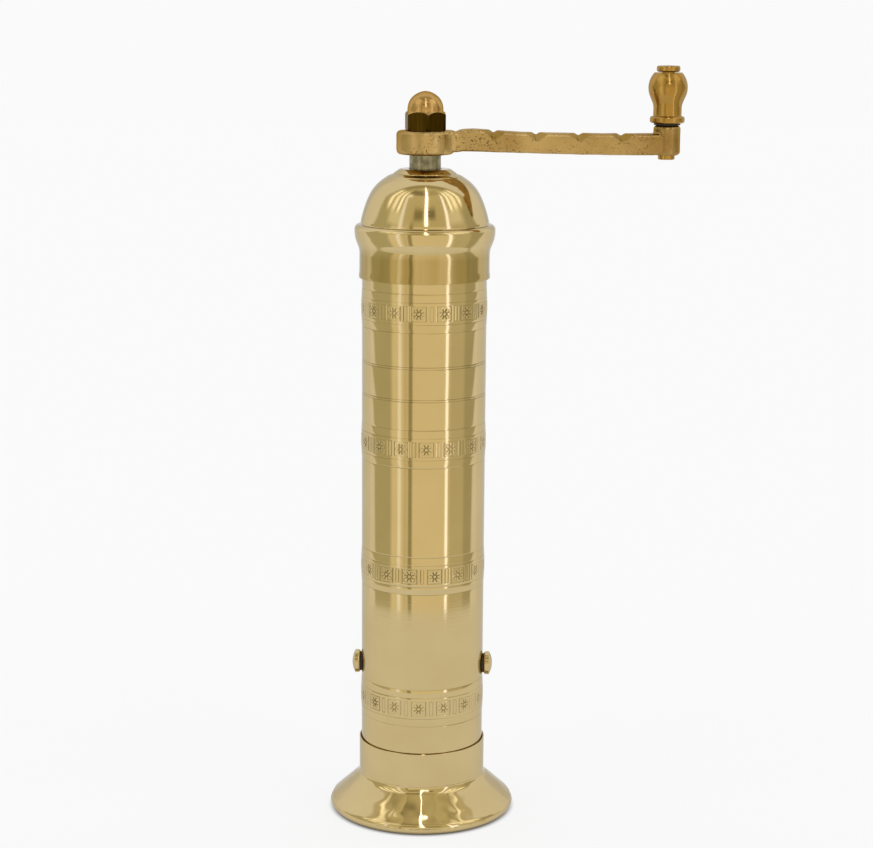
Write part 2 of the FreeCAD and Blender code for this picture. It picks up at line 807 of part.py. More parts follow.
def crank_arm():
    sections = [arm_section(crank_length * step / (arm_stations - 1)) for step in range(arm_stations)]
    arm = Part.makeLoft(sections, True, True)
    for step in range(notch_count):
        arm = arm.cut(notch(notch_first + notch_pitch * step))
    spot_face = cylinder(hub_radius, hub_top, hub_top + arm_height)
    hub = round_edged(hub_radius, hub_bottom, hub_top, hub_round)
    boss = round_edged(boss_radius, boss_bottom, boss_top, boss_round)
    boss.translate(point(crank_length, 0, 0))
    arm = arm.cut(spot_face).fuse(hub).fuse(boss)
    size = shaft_square + 2 * running_gap
    hole = square_bar(size, shaft_radius + running_gap, hub_bottom - overshoot, hub_top + overshoot)
    spindle_bore = spindle_radius + press_gap
    spindle_hole = cylinder(spindle_bore, boss_bottom - overshoot, boss_top + overshoot, crank_length)
    return arm.cut(hole).cut(spindle_hole).removeSplitter()


def knob_spindle():
    shank_top = knob_top + knob_play
    head_top = shank_top + spindle_head_height
    spindle = cylinder(spindle_radius, boss_bottom, shank_top)
    spindle = spindle.fuse(round_edged(spindle_head_radius, shank_top, head_top, spindle_head_round))
    stub_bottom = boss_bottom - spindle_stub_height
    spindle = spindle.fuse(round_edged(spindle_stub_radius, stub_bottom, boss_bottom, spindle_stub_round))
    spindle = spindle.removeSplitter()
    spindle.translate(point(crank_length, 0, 0))
    return spindle


def knob_washer():
    washer = cylinder(knob_washer_radius, boss_top, washer_top, crank_length)
    bore = cylinder(spindle_radius + press_gap, boss_top - overshoot, washer_top + overshoot, crank_length)
    return washer.cut(bore)


def crank_knob():
    bore = spindle_radius + running_gap
    foot_top = knob_bottom + knob_foot_height
    foot_centre = knob_foot_radius - knob_foot_round
    neck_top = knob_bottom + knob_neck_height
    belly_height = knob_bottom + knob_belly_height
    hollow, belly, slope = ogee(knob_belly_radius - knob_neck_radius, belly_height - neck_top,
                                knob_neck_hollow, knob_belly_round)
    degrees = math.degrees(slope)
    crown = knob_belly_radius - belly
    knob = Profile(bore, knob_bottom)
    knob.line(foot_centre, knob_bottom)
    knob.corner(foot_centre, knob_bottom + knob_foot_round, knob_foot_round, -90, 0)
    knob.line(knob_foot_radius, foot_top - knob_foot_round)
    knob.corner(foot_centre, foot_top - knob_foot_round, knob_foot_round, 0, 90)
    knob.line(knob_neck_radius, foot_top)
    knob.line(knob_neck_radius, neck_top)
    knob.corner(knob_neck_radius + hollow, neck_top, hollow, 180, 180 - degrees)
    knob.line(crown + belly * math.cos(slope), belly_height - belly * math.sin(slope))
    knob.corner(crown, belly_height, belly, -degrees, 0)
    knob.tangent_arc(knob_top_radius, knob_top)
    knob.line(bore, knob_top)
    solid = knob.turned()
    solid.translate(point(crank_length, 0, 0))
    return solid


def cap_nut():
    hex_top = hub_top + nut_hex_height
    corner_radius = nut_across_flats / 2 / math.cos(math.pi / 6)
    corners = []
    for side in range(6):
        angle = math.radians(60 * side + nut_turn - 90)
        corners.append((corner_radius * math.cos(angle), corner_radius * math.sin(angle)))
    trim = Profile(0, hub_top)
    trim.line(corner_radius - nut_chamfer, hub_top)
    trim.line(corner_radius, hub_top + nut_chamfer)
    trim.line(corner_radius, hex_top - nut_chamfer)
    trim.line(corner_radius - nut_chamfer, hex_top)
    trim.line(0, hex_top)
    dome_radius = nut_across_flats / 2 - nut_dome_inset
    dome_base = hex_top + nut_dome_wall
    cap = Profile(0, hex_top)
    cap.line(dome_radius, hex_top)
    cap.line(dome_radius, dome_base)
    cap.ball_cap(dome_base + nut_dome_rise)
    nut = prism(corners, hub_top, hex_top).common(trim.turned()).fuse(cap.turned())
    return nut.cut(cylinder(thread_radius + thread_gap, hub_top - overshoot, thread_top + nut_bore_spare))


def save(name, shape):
    shape.exportStep("parts/" + name + ".step")


def main():
    os.makedirs("parts", exist_ok=True)
    save("body_tube", body_tube())
    save("foot_skirt", foot_skirt())
    save("ring_burr", ring_burr())
    save("side_screws", side_screws())
    save("side_washers", side_washers())
    save("guide_bar", guide_bar())
    save("guide_screws", guide_screws())
    save("lower_bridge", lower_bridge())
    save("bridge_screws", bridge_screws())
    save("thrust_ball", thrust_ball())
    save("adjusting_screw", adjusting_screw())
    save("adjuster_wheel", adjuster_wheel())
    save("adjuster_spring", adjuster_spring())
    save("drive_shaft", drive_shaft())
    save("journal_sleeve", journal_sleeve())
    save("burr_cone", burr_cone())
    save("burr_pin", burr_pin())
    save("crank_arm", crank_arm())
    save("knob_spindle", knob_spindle())
    save("knob_washer", knob_washer())
    save("crank_knob", crank_knob())
    save("cap_nut", cap_nut())
    save("dome_cap", dome_cap())
    save("dome_bush", dome_bush())


main()
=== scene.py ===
import json
import random
from math import atan2, cos, degrees, hypot, pi, radians, sin, sqrt, tan

import bmesh
import bpy
import numpy as np
from mathutils import Matrix, Vector, noise


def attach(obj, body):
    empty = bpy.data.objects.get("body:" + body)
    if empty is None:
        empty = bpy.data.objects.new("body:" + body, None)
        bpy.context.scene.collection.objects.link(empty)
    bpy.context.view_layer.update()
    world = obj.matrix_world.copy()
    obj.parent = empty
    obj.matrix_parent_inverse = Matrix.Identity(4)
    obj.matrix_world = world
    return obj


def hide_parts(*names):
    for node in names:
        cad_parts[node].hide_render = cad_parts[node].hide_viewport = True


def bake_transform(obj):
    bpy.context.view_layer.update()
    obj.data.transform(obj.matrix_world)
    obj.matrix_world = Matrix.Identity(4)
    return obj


# Brass pepper mill with a crank on top. Sizes below are in millimetres, and MM brings them to metres.
MM = 0.001
LATHE_STEPS = 224  # columns of most turned pieces
SHARP_ANGLE = 34.0  # degrees, sharper edges stay crisp
AXIS = 0.01  # outlines stop this far from their axis
OGEE_FILL = 0.98  # most that an ogee's arcs fill of their room

# Camera, with its turns in degrees
LENS = 88.23
SENSOR = 36.0
CAMERA_PLACE = (0.0, -633.48, 242.62)
CAMERA_PITCH = 10.93
CAMERA_YAW = 0.352
CAMERA_ROLL = 0.41

# Body tube with its rolled friezes
TUBE_RADIUS = 18.6
TUBE_BORE = 17.6
TUBE_BOTTOM = 12.8
TUBE_TOP = 179.85
BAND_SWELL = 0.2  # a frieze stands this far out of the tube
BAND_REACH = 5.7
BAND_LINES = (5.7, 3.25)  # thin lines above and below a frieze's middle
BAND_PLAIN = 4.5  # a row between those lines
BAND_EDGE = 6.5  # a frieze ring ends this far from its middle
BANDS = ((36.6, -3.1), (77.57, 11.0), (116.03, 2.5), (156.2, -4.9))  # height, front rosette's angle
PANEL_LINES = (130.12, 130.77, 139.77, 140.42)
CELL_PITCH = 23.3  # degrees from rosette to rosette
CELL_COUNT = 15
SQUARE_HALF = 2.15
BAR_HALF_WIDTH = 0.5
BAR_HALF_HEIGHT = 2.18
LINE_HALF = 0.30
LINE_DEPTH = 0.045
LINE_DIRT = 0.60  # how dark a thin line is, next to a deep cut
LINE_ROWS = (-1.0, -0.6, -0.25, 0.0, 0.25, 0.6, 1.0)  # as shares of a line's half width
BAND_LINE_SHARE = 0.75  # depth of a frieze's own lines, next to the others
ORNAMENT_DEPTH = 0.14  # a cut of this depth is quite dark
ORNAMENT_ROWS = np.linspace(-2.5, 2.5, 32)
SQUARE_COLUMNS = np.linspace(-2.42, 2.42, 30)
BAR_COLUMNS = np.linspace(-0.75, 0.75, 10)
JOIN_SPAN = (1.4, 2.6)  # columns of the gap at the back
RING = (0.62, 0.34, 0.13)  # ring round a rosette's dot: radius, half width, depth
STROKE_SPAN = (0.6, 1.72)  # a rosette's strokes run between these radii
STROKE_FADE = 0.3
STROKE_HALF = (0.17, 0.16)  # half width at the inner end, growth per millimetre
STROKE_STANCE = (0.75, 0.45)  # width of a level stroke, and what an upright one adds
STROKE_DEPTH = (0.10, 0.06)  # the same for the depth
PETAL = (1.38, 0.56, 0.20, 0.06)  # petal ends: place, radius, half width, depth
SQUARE_SIDE = (0.24, 0.12)  # half width and depth of a square's upright sides
SQUARE_END = (0.22, 0.07)  # and of its level sides
BAR_SIDE = (0.20, 0.10)
BAR_END = (0.20, 0.07)
WANDER_TURNS = (2, 3, 5, 9, 14)
WANDER = (0.85, 0.3)  # middle and reach of the unevenness of rolled lines
ORNAMENT_SEED = 40
PANEL_SEED = 7

# Foot
COLLAR_RADIUS = 19.22
COLLAR_TOP = 22.4
COLLAR_BORE = 18.62
FLARE_TOP = 12.2
FOOT_SHEET = 0.8
FOOT_FILLET = 3.0
FOOT_SHOULDER = 2.0
LIP_RADIUS = 28.12
LIP_HEIGHT = 1.9
FOOT_FLAT = 1.5  # width of the resting ring
COLLAR_LEAD = (0.28, 0.3)  # width and height of the mouth's bevel
COLLAR_ROUND = 0.12
FOOT_PAINTED_SHADE = {0: 0.9, 1: 0.7}  # rows of the outline with painted shade in the collar's mouth, and how much
FOOT_WAVES = (9, 72, 3.2, 0.22)  # rows from and to, length and depth

# Dome
DOME_SHEET = 0.85
DOME_BOTTOM = 164.8
SKIRT_RADIUS = 19.5
SKIRT_BORE = 18.65
SKIRT_STRAIGHT = 7.1
BEAD_OVERHANG = 1.52
BEAD_SWEEP = 6.3
BEAD_ROUND = 10.0
BEAD_FLAT = 0.3
BEAD_EDGE = 1.6
WALL_INSET = 0.35
WALL_STEP = 0.8
FLANK_INSET = 1.26
FLANK_RISE = 5.15
SHOULDER_INSET = 3.2
SHOULDER_RISE = 9.75
CROWN_RISE = 15.65
CROWN_RADIUS = 9.4
BUSH_HOLE = 6.22
SKIRT_ROUND = 0.15
WALL_FILLET = 0.25
INNER_CROWN = (1.6, 1.4)  # inwards and up from the outer shoulder
INNER_SHOULDER = (0.8, 0.4)  # inwards and down from it
# rows of the outline with painted shade at the skirt's lower edge, and how much
DOME_PAINTED_SHADE = {0: 0.8, 1: 0.5}
DOME_WAVES = (8, 150, 8.0, 0.22)

# Bush in the dome
BUSH_BORE = 4.70
BUSH_BARREL = 6.2
BUSH_BOTTOM = 188.5
BUSH_SEAT = 195.5
BUSH_TOP = 196.95
BUSH_FOOT = 9.3
BUSH_FACE = 7.5
BUSH_LIP = 7.2
BUSH_LIP_SPAN = (193.65, 194.65)
BUSH_FOOT_EDGE = 0.15  # height of the flange's upright edge
BUSH_BEVEL = (0.25, 0.2)  # of the face, outwards and down
BUSH_MOUTH = 0.45  # bevel of the bore

# Side screws
SCREW_HEIGHT = 45.7
SCREW_TURN = -2.3  # degrees, towards the viewer
SCREW_SHANK = 2.02
SCREW_HEAD = 3.55
SCREW_WASHER = 2.95
SCREW_SEAT = 18.3
SCREW_RIM = (19.05, 19.62)  # distances from the tube's axis
SCREW_RIM_INSET = 0.1  # from the head's edge
SCREW_RIM_ROUND = 0.4

# Knob
KNOB_X = 71.0
KNOB_BOTTOM = 210.75
KNOB_LENGTH = 14.65
KNOB_BORE = 1.95
KNOB_FOOT = 5.09
KNOB_FOOT_HEIGHT = 2.0
KNOB_FOOT_ROUND = 0.65
KNOB_NECK = 4.15
KNOB_NECK_TOP = 4.2
KNOB_NECK_HOLLOW = 5.0
KNOB_BELLY = 5.75
KNOB_BELLY_HEIGHT = 10.2
KNOB_BELLY_ROUND = 6.0
KNOB_TOP = 4.05
KNOB_FILLET = 0.25

# Knob spindle
SPINDLE_RADIUS = 1.9
SPINDLE_BOTTOM = 200.1
STUB_RADIUS = 2.45
STUB_TOP = 201.45
HEAD_RADIUS = 3.45
HEAD_BOTTOM = 225.6
HEAD_TOP = 227.5
HEAD_ROUND = 0.6
HEAD_CROWN = 0.12  # height of its middle over its edge
STUB_ROUND = 0.25

# Cap nut
NUT_BOTTOM = 208.2
NUT_HEX_TOP = 213.6
NUT_TOP = 219.6
NUT_FLAT = 5.6  # half the width across flats
NUT_TURN = 8.5  # degrees, how far a corner is turned from the front
NUT_BORE = 3.0
NUT_BORE_TOP = 216.2
NUT_DOME = 5.3
NUT_CHAMFER = 0.8
NUT_CORNER_CUT = 0.85  # the chamfer takes this much off the corners
NUT_SEAT = (0.45, 0.3)  # edge of the seat: past the flats, and its height
NUT_STEP = 0.08  # flat rim round the dome
NUT_POINT = (2.6, 0.60)  # powers that make the dome slightly pointed

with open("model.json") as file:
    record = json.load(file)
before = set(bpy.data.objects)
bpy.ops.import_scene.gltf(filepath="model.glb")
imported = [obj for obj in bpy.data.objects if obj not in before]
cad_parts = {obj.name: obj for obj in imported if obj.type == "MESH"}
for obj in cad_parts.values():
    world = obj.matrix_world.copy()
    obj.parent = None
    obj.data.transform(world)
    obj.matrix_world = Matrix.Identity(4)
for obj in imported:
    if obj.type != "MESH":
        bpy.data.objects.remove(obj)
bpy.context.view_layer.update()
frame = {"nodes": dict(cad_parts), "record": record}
nodes = frame["nodes"]


class Outline:
    """A line of radius and height in millimetres, sampled finely along its arcs."""

    def __init__(self, radius, height):
        self.points = [(radius, height)]

    def line(self, radius, height, steps=1):
        """A straight line from the last point."""
        first_radius, first_height = self.points[-1]
        for step in range(1, steps + 1):
            share = step / steps
            self.points.append((first_radius + (radius - first_radius) * share,
                                first_height + (height - first_height) * share))

    def lines(self, *points):
        """Straight lines through further points."""
        self.points += points

    def corner(self, radius, height, size, first, last, steps=14):
        """An arc about a centre, between two angles in degrees."""
        for step in range(1, steps + 1):
            angle = radians(first + (last - first) * step / steps)
            self.points.append((radius + size * cos(angle), height + size * sin(angle)))

    def arc(self, mid_radius, mid_height, radius, height, steps=28):
        """The arc from the last point through a middle point to an end point."""
        (ax, ay), (bx, by), (cx, cy) = self.points[-1], (mid_radius, mid_height), (radius, height)
        d = 2 * (ax * (by - cy) + bx * (cy - ay) + cx * (ay - by))
        a, b, c = ax * ax + ay * ay, bx * bx + by * by, cx * cx + cy * cy
        ux = (a * (by - cy) + b * (cy - ay) + c * (ay - by)) / d
        uy = (a * (cx - bx) + b * (ax - cx) + c * (bx - ax)) / d
        size = hypot(ax - ux, ay - uy)
        first, middle, last = (atan2(y - uy, x - ux) for x, y in ((ax, ay), (bx, by), (cx, cy)))
        turn = (last - first) % (2 * pi)
        if (middle - first) % (2 * pi) > turn:
            turn -= 2 * pi
        self.corner(ux, uy, size, degrees(first), degrees(first + turn), steps)

    def tangent_arc(self, radius, height, steps=36):
        """An arc that leaves in the direction in which the last points arrive."""
        (px, py), (ax, ay) = self.points[-2], self.points[-1]
        way = Vector((ax - px, ay - py)).normalized()
        chord = Vector((radius - ax, height - ay))
        along = chord * (way.dot(chord) / chord.dot(chord))
        across = way - along
        half_turn = atan2(across.length, along.length) / 2
        bulge = across.normalized() * (chord.length / 2 * tan(half_turn))
        middle = Vector((ax, ay)) + chord * 0.5 + bulge
        self.arc(middle.x, middle.y, radius, height, steps)


def ogee(run, rise, hollow, crown):
    """Radii of a hollow and a crown arc that fit the room, and the slope between them in degrees."""
    room = (run ** 2 + rise ** 2) / (2 * run)
    scale = min(1, OGEE_FILL * room / (hollow + crown))
    both = (hollow + crown) * scale
    spare = run - both
    straight = sqrt(spare ** 2 + rise ** 2 - both ** 2)
    slope = degrees(atan2(rise * both + spare * straight, rise * straight - spare * both))
    return hollow * scale, crown * scale, slope


def cos_sin(angle):
    return cos(radians(angle)), sin(radians(angle))


def link(name, data):
    """A new object of a mesh or a camera, in the scene."""
    piece = bpy.data.objects.new(name, data)
    bpy.context.scene.collection.objects.link(piece)
    return piece


def finish_mesh(mesh, grooves, sharp):
    """Marks how deep the cuts are, and shades the mesh smooth, but for edges that turn sharply."""
    if grooves is not None:
        mark = mesh.attributes.new("groove", "FLOAT", "POINT")
        mark.data.foreach_set("value", grooves.reshape(-1).astype(np.float32))
    mesh.polygons.foreach_set("use_smooth", [True] * len(mesh.polygons))
    if sharp:
        mesh.set_sharp_from_angle(angle=radians(SHARP_ANGLE))
    mesh.update()


def ring_mesh(name, angles, radii, heights, grooves=None, centre=(0.0, 0.0)):
    """A closed ring: rows of radius and height that join end to end, over columns of angle."""
    rows, columns = radii.shape
    x = centre[0] + radii * np.cos(angles)[None, :]
    y = centre[1] + radii * np.sin(angles)[None, :]
    z = np.repeat(np.asarray(heights, float)[:, None], columns, axis=1)
    places = np.stack([x, y, z], axis=2).reshape(-1, 3) * MM
    row = np.arange(rows)[:, None]
    column = np.arange(columns)[None, :]
    next_row = (row + 1) % rows
    next_column = (column + 1) % columns
    faces = np.stack([row * columns + column, row * columns + next_column,
                      next_row * columns + next_column, next_row * columns + column], axis=2).reshape(-1, 4)
    mesh = bpy.data.meshes.new(name)
    mesh.from_pydata(places.tolist(), [], faces.tolist())
    finish_mesh(mesh, grooves, True)
    return link(name, mesh)


def turned(name, outline, centre=(0.0, 0.0), steps=LATHE_STEPS, dirt_and_shade=None, wave=None):
    """A turned ring from a closed outline, with painted shade in some of its rows and an uneven skin."""
    points = np.array(outline.points)
    angles = np.linspace(0, 2 * pi, steps, endpoint=False)
    radii = np.repeat(points[:, 0][:, None], steps, axis=1)
    grooves = None
    if dirt_and_shade:
        grooves = np.zeros_like(radii)
        # painted shade in the listed rows, uneven round the ring
        for row, amount in dirt_and_shade.items():
            grooves[row] = amount * unevenness(angles, row)
    if wave:
        first, last, length, depth = wave
        for row in range(first, last):
            for column, angle in enumerate(angles):
                radius = radii[row, column]
                spot = Vector((cos(angle) * radius, sin(angle) * radius, points[row, 1]))
                radii[row, column] -= depth * (1 + noise.noise(spot / length)) / 2
    return ring_mesh(name, angles, radii, points[:, 1], grooves, centre)


def place(piece, body, node, material):
    """Dresses a piece and puts it on its body, in place of a CAD node if one is named."""
    piece.data.materials.append(material)
    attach(piece, body)
    if node:
        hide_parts(node)


# Body tube

def fall(distance, half_width):
    """1 in the middle of a cut, falling smoothly to 0 at its edges."""
    share = np.clip(1 - np.abs(distance) / half_width, 0, 1)
    return share * share * (3 - 2 * share)


def line_in_box(across, along, half_width, reach):
    """A straight cut of a given reach, seen from its middle."""
    past = np.clip(np.abs(along) - reach, 0, None)
    return fall(np.hypot(across, past), half_width)


def box_lines(u, v, halves, upright, level):
    """Depth of a box of cuts: its half width and half height, and half width and depth of its sides."""
    depth = np.zeros_like(u)
    for side in (-1, 1):
        sides = line_in_box(u - side * halves[0], v, upright[0], BAR_HALF_HEIGHT)
        ends = line_in_box(v - side * halves[1], u, level[0], halves[0])
        depth = np.maximum(depth, np.maximum(upright[1] * sides, level[1] * ends))
    return depth


def rosette(u, v):
    """Depth of a daisy in a square: a ring round a dot, eight strokes and petal ends."""
    r = np.hypot(u, v)
    angle = np.arctan2(v, u)
    radius, half, deep = RING
    depth = deep * fall(r - radius, half)
    step = pi / 4
    off = angle % step - step / 2
    along = r * np.cos(off)
    across = r * np.sin(off)
    upright = np.abs(np.sin(angle))
    start, end = STROKE_SPAN
    width = STROKE_HALF[0] + STROKE_HALF[1] * np.clip(along - start, 0, 1)
    width = width * (STROKE_STANCE[0] + STROKE_STANCE[1] * upright)
    stroke = np.where(along > start, fall(across, width), 0)
    fade = np.clip((end - along) / STROKE_FADE, 0, 1)
    depth = np.maximum(depth, (STROKE_DEPTH[0] + STROKE_DEPTH[1] * upright) * stroke * fade)
    petal = (angle + step / 2) % step - step / 2
    middle, radius, half, deep = PETAL
    tip = np.hypot(r * np.cos(petal) - middle, r * np.sin(petal))
    depth = np.maximum(depth, deep * fall(tip - radius, half) * (r > middle))
    return np.maximum(depth, box_lines(u, v, (SQUARE_HALF, SQUARE_HALF), SQUARE_SIDE, SQUARE_END))


def bar(u, v):
    """Depth of an upright bar's outline."""
    return box_lines(u, v, (BAR_HALF_WIDTH, BAR_HALF_HEIGHT), BAR_SIDE, BAR_END)


def unevenness(angles, seed):
    """A slow wander round the tube, for lines that were rolled by hand."""
    chance = random.Random(seed)
    wander = np.zeros_like(angles)
    for turn in WANDER_TURNS:
        wander += np.sin(turn * angles + chance.uniform(0, 2 * pi)) / sqrt(turn)
    return WANDER[0] + WANDER[1] * np.clip(wander / 2, -1, 1)


def line_rows(height):
    return [height + LINE_HALF * share for share in LINE_ROWS]


def frieze_columns(front):
    """Angles of a frieze's columns, close together on the ornament, and of its cells."""
    pitch = radians(CELL_PITCH) * TUBE_RADIUS
    offsets = np.concatenate([SQUARE_COLUMNS, pitch / 2 + BAR_COLUMNS])
    cells = [front + CELL_PITCH * (cell - CELL_COUNT // 2) for cell in range(CELL_COUNT)]
    angles = np.concatenate([radians(cell) + offsets / TUBE_RADIUS for cell in cells])
    gap = np.linspace(pitch / 2 + JOIN_SPAN[0], pitch / 2 + JOIN_SPAN[1], 3)
    seam = radians(cells[-1]) + gap / TUBE_RADIUS
    return np.concatenate([angles, seam]), [radians(cell) for cell in cells]


def from_nearest(bearings, cells):
    """How far each column lies from the nearest cell, along the tube."""
    off = (bearings - np.array(cells)[:, None]) * TUBE_RADIUS
    return off[np.abs(off).argmin(axis=0), np.arange(bearings.size)]


def tube_ring(name, angles, heights, outer, dirt_and_shade):
    """A ring of the tube, closed by its bore."""
    inner = np.full((1, angles.size), TUBE_BORE)
    blank = np.zeros_like(inner)
    rows = ((inner, outer, inner), (heights[:1], heights, heights[-1:]), (blank, dirt_and_shade, blank))
    return ring_mesh(name, angles, *(np.concatenate(part) for part in rows))


def frieze(index, middle, front):
    """One frieze band as a ring of the tube, with its ornament cut into the surface."""
    bearings, cells = frieze_columns(front)
    rows = [-BAND_EDGE, BAND_EDGE, -BAND_PLAIN, BAND_PLAIN] + list(ORNAMENT_ROWS)
    for offset in BAND_LINES:
        rows += line_rows(offset) + line_rows(-offset)
    v = np.array(sorted(rows))
    swell = BAND_SWELL * np.clip(1 - (v / BAND_REACH) ** 2, 0, 1)
    grid_u, grid_v = np.meshgrid(from_nearest(bearings, cells), v)
    grid_bar = np.meshgrid(from_nearest(bearings - radians(CELL_PITCH) / 2, cells), v)[0]
    cut = np.maximum(rosette(grid_u, grid_v), bar(grid_bar, grid_v))
    cut *= unevenness(bearings, ORNAMENT_SEED + index)[None, :]
    dirt_and_shade = np.clip(cut / ORNAMENT_DEPTH, 0, 1)
    for order, offset in enumerate(BAND_LINES):
        for side in (-1, 1):
            wander = unevenness(bearings, 100 * index + 10 * order + side)
            line = fall(grid_v - side * offset, LINE_HALF) * wander[None, :]
            cut = np.maximum(cut, BAND_LINE_SHARE * LINE_DEPTH * line)
            dirt_and_shade = np.maximum(dirt_and_shade, BAND_LINE_SHARE * LINE_DIRT * line)
    outer = TUBE_RADIUS + swell[:, None] - cut
    return tube_ring("tube_frieze_%d" % (index + 1), bearings - pi / 2, middle + v, outer, dirt_and_shade)


def plain_ring(name, bottom, top, lines):
    """A plain stretch of the tube, with any thin lines that run round it."""
    v = np.array(sorted([bottom, top] + [height for line in lines for height in line_rows(line)]))
    angles = np.linspace(0, 2 * pi, LATHE_STEPS * 2, endpoint=False)
    line_share = np.zeros((v.size, angles.size))
    for order, line in enumerate(lines):
        share = fall(v - line, LINE_HALF)
        line_share = np.maximum(line_share, share[:, None] * unevenness(angles, PANEL_SEED + order)[None, :])
    return tube_ring(name, angles, v, TUBE_RADIUS - LINE_DEPTH * line_share, LINE_DIRT * line_share)


def build_tube(material):
    """The tube as a stack of rings, friezes and plain stretches in turn."""
    edges = [TUBE_BOTTOM]
    for index, (middle, front) in enumerate(BANDS):
        piece = frieze(index, middle, front)
        place(piece, "mill_body", None, material)
        edges += [middle - BAND_EDGE, middle + BAND_EDGE]
    edges.append(TUBE_TOP)
    for index in range(0, len(edges), 2):
        bottom, top = edges[index], edges[index + 1]
        lines = [line for line in PANEL_LINES if bottom < line < top]
        piece = plain_ring("tube_plain_%d" % (index // 2 + 1), bottom, top, lines)
        place(piece, "mill_body", "body_tube", material)


# Turned pieces

def foot_outline():
    """The foot: a collar round the tube over a flare with a rounded lip, open below."""
    fillet, shoulder, slope = ogee(LIP_RADIUS - COLLAR_RADIUS, FLARE_TOP - LIP_HEIGHT,
                                   FOOT_FILLET, FOOT_SHOULDER)
    cosine, sine = cos_sin(slope)
    hollow = COLLAR_RADIUS + fillet
    crown = LIP_RADIUS - shoulder
    lip_centre = LIP_RADIUS - LIP_HEIGHT
    flat_edge = lip_centre - FOOT_FLAT
    inner_fillet = fillet + FOOT_SHEET
    inner_top = FLARE_TOP - inner_fillet * sine
    inner_radius = hollow - inner_fillet * cosine
    foot = Outline(COLLAR_BORE, COLLAR_TOP - COLLAR_LEAD[1])
    foot.line(COLLAR_BORE + COLLAR_LEAD[0], COLLAR_TOP)
    foot.line(COLLAR_RADIUS - COLLAR_ROUND, COLLAR_TOP)
    foot.corner(COLLAR_RADIUS - COLLAR_ROUND, COLLAR_TOP - COLLAR_ROUND, COLLAR_ROUND, 90, 0, 4)
    foot.line(COLLAR_RADIUS, FLARE_TOP)
    foot.corner(hollow, FLARE_TOP, fillet, 180, 180 + slope, 24)
    foot.line(crown + shoulder * cosine, LIP_HEIGHT + shoulder * sine, 24)
    foot.corner(crown, LIP_HEIGHT, shoulder, slope, 0, 18)
    foot.corner(lip_centre, LIP_HEIGHT, LIP_HEIGHT, 0, -90, 18)
    foot.line(flat_edge, 0)
    foot.line(flat_edge, inner_top - (flat_edge - inner_radius) * cosine / sine)
    foot.line(inner_radius, inner_top)
    foot.corner(hollow, FLARE_TOP, inner_fillet, 180 + slope, 180)
    return foot


def dome_outline():
    """The dome: a skirt, a bead that sweeps out of it, and the dome with the bush's hole."""
    shelf = TUBE_TOP + DOME_SHEET
    crown_top = TUBE_TOP + CROWN_RISE
    shoulder, shoulder_height = SKIRT_RADIUS - SHOULDER_INSET, TUBE_TOP + SHOULDER_RISE
    bead_radius = SKIRT_RADIUS + BEAD_OVERHANG
    edge_height = shelf - BEAD_EDGE
    bead_height = edge_height - BEAD_FLAT
    sweep_start = DOME_BOTTOM + SKIRT_STRAIGHT
    sweep, bead_round, slope = ogee(BEAD_OVERHANG, bead_height - sweep_start, BEAD_SWEEP, BEAD_ROUND)
    cosine, sine = cos_sin(slope)
    hollow = SKIRT_RADIUS + sweep
    round_centre = bead_radius - bead_round
    edge_centre = bead_radius - BEAD_EDGE
    wall_radius = SKIRT_RADIUS - WALL_INSET
    dome = Outline(SKIRT_BORE, DOME_BOTTOM)
    dome.line(SKIRT_RADIUS - SKIRT_ROUND, DOME_BOTTOM)
    dome.corner(SKIRT_RADIUS - SKIRT_ROUND, DOME_BOTTOM + SKIRT_ROUND, SKIRT_ROUND, -90, 0, 5)
    dome.line(SKIRT_RADIUS, sweep_start, 8)
    dome.corner(hollow, sweep_start, sweep, 180, 180 - slope, 20)
    dome.line(round_centre + bead_round * cosine, bead_height - bead_round * sine)
    dome.corner(round_centre, bead_height, bead_round, -slope, 0, 20)
    dome.line(bead_radius, edge_height)
    dome.corner(edge_centre, edge_height, BEAD_EDGE, 0, 90)
    dome.line(wall_radius + WALL_FILLET, shelf)
    dome.corner(wall_radius + WALL_FILLET, shelf + WALL_FILLET, WALL_FILLET, 270, 180, 6)
    dome.line(wall_radius, shelf + WALL_STEP)
    dome.arc(SKIRT_RADIUS - FLANK_INSET, TUBE_TOP + FLANK_RISE, shoulder, shoulder_height, 40)
    dome.tangent_arc(CROWN_RADIUS, crown_top, 40)
    dome.lines((BUSH_HOLE, crown_top), (BUSH_HOLE, crown_top - DOME_SHEET),
               (CROWN_RADIUS, crown_top - DOME_SHEET))
    dome.arc(shoulder - INNER_CROWN[0], shoulder_height + INNER_CROWN[1],
             shoulder - INNER_SHOULDER[0], shoulder_height - INNER_SHOULDER[1])
    dome.lines((wall_radius - DOME_SHEET, shelf + WALL_STEP), (wall_radius - DOME_SHEET, TUBE_TOP),
               (edge_centre, TUBE_TOP))
    dome.corner(edge_centre, edge_height, BEAD_EDGE - DOME_SHEET, 90, 0)
    dome.line(bead_radius - DOME_SHEET, bead_height)
    dome.line(SKIRT_BORE, sweep_start)
    return dome


def bush_outline():
    """The bush: a barrel through the crown, a lip under it, and a sloping flange above it."""
    lip_bottom, lip_top = BUSH_LIP_SPAN
    bush = Outline(BUSH_BORE, BUSH_BOTTOM)
    bush.lines((BUSH_BARREL, BUSH_BOTTOM), (BUSH_BARREL, lip_bottom), (BUSH_LIP, lip_bottom),
               (BUSH_LIP, lip_top), (BUSH_BARREL, lip_top), (BUSH_BARREL, BUSH_SEAT),
               (BUSH_FOOT, BUSH_SEAT), (BUSH_FOOT, BUSH_SEAT + BUSH_FOOT_EDGE))
    bush.line(BUSH_FACE + BUSH_BEVEL[0], BUSH_TOP - BUSH_BEVEL[1], 4)
    bush.line(BUSH_FACE - BUSH_BEVEL[1], BUSH_TOP, 3)
    bush.line(BUSH_BORE + BUSH_MOUTH, BUSH_TOP, 4)
    bush.line(BUSH_BORE, BUSH_TOP - BUSH_MOUTH)
    return bush


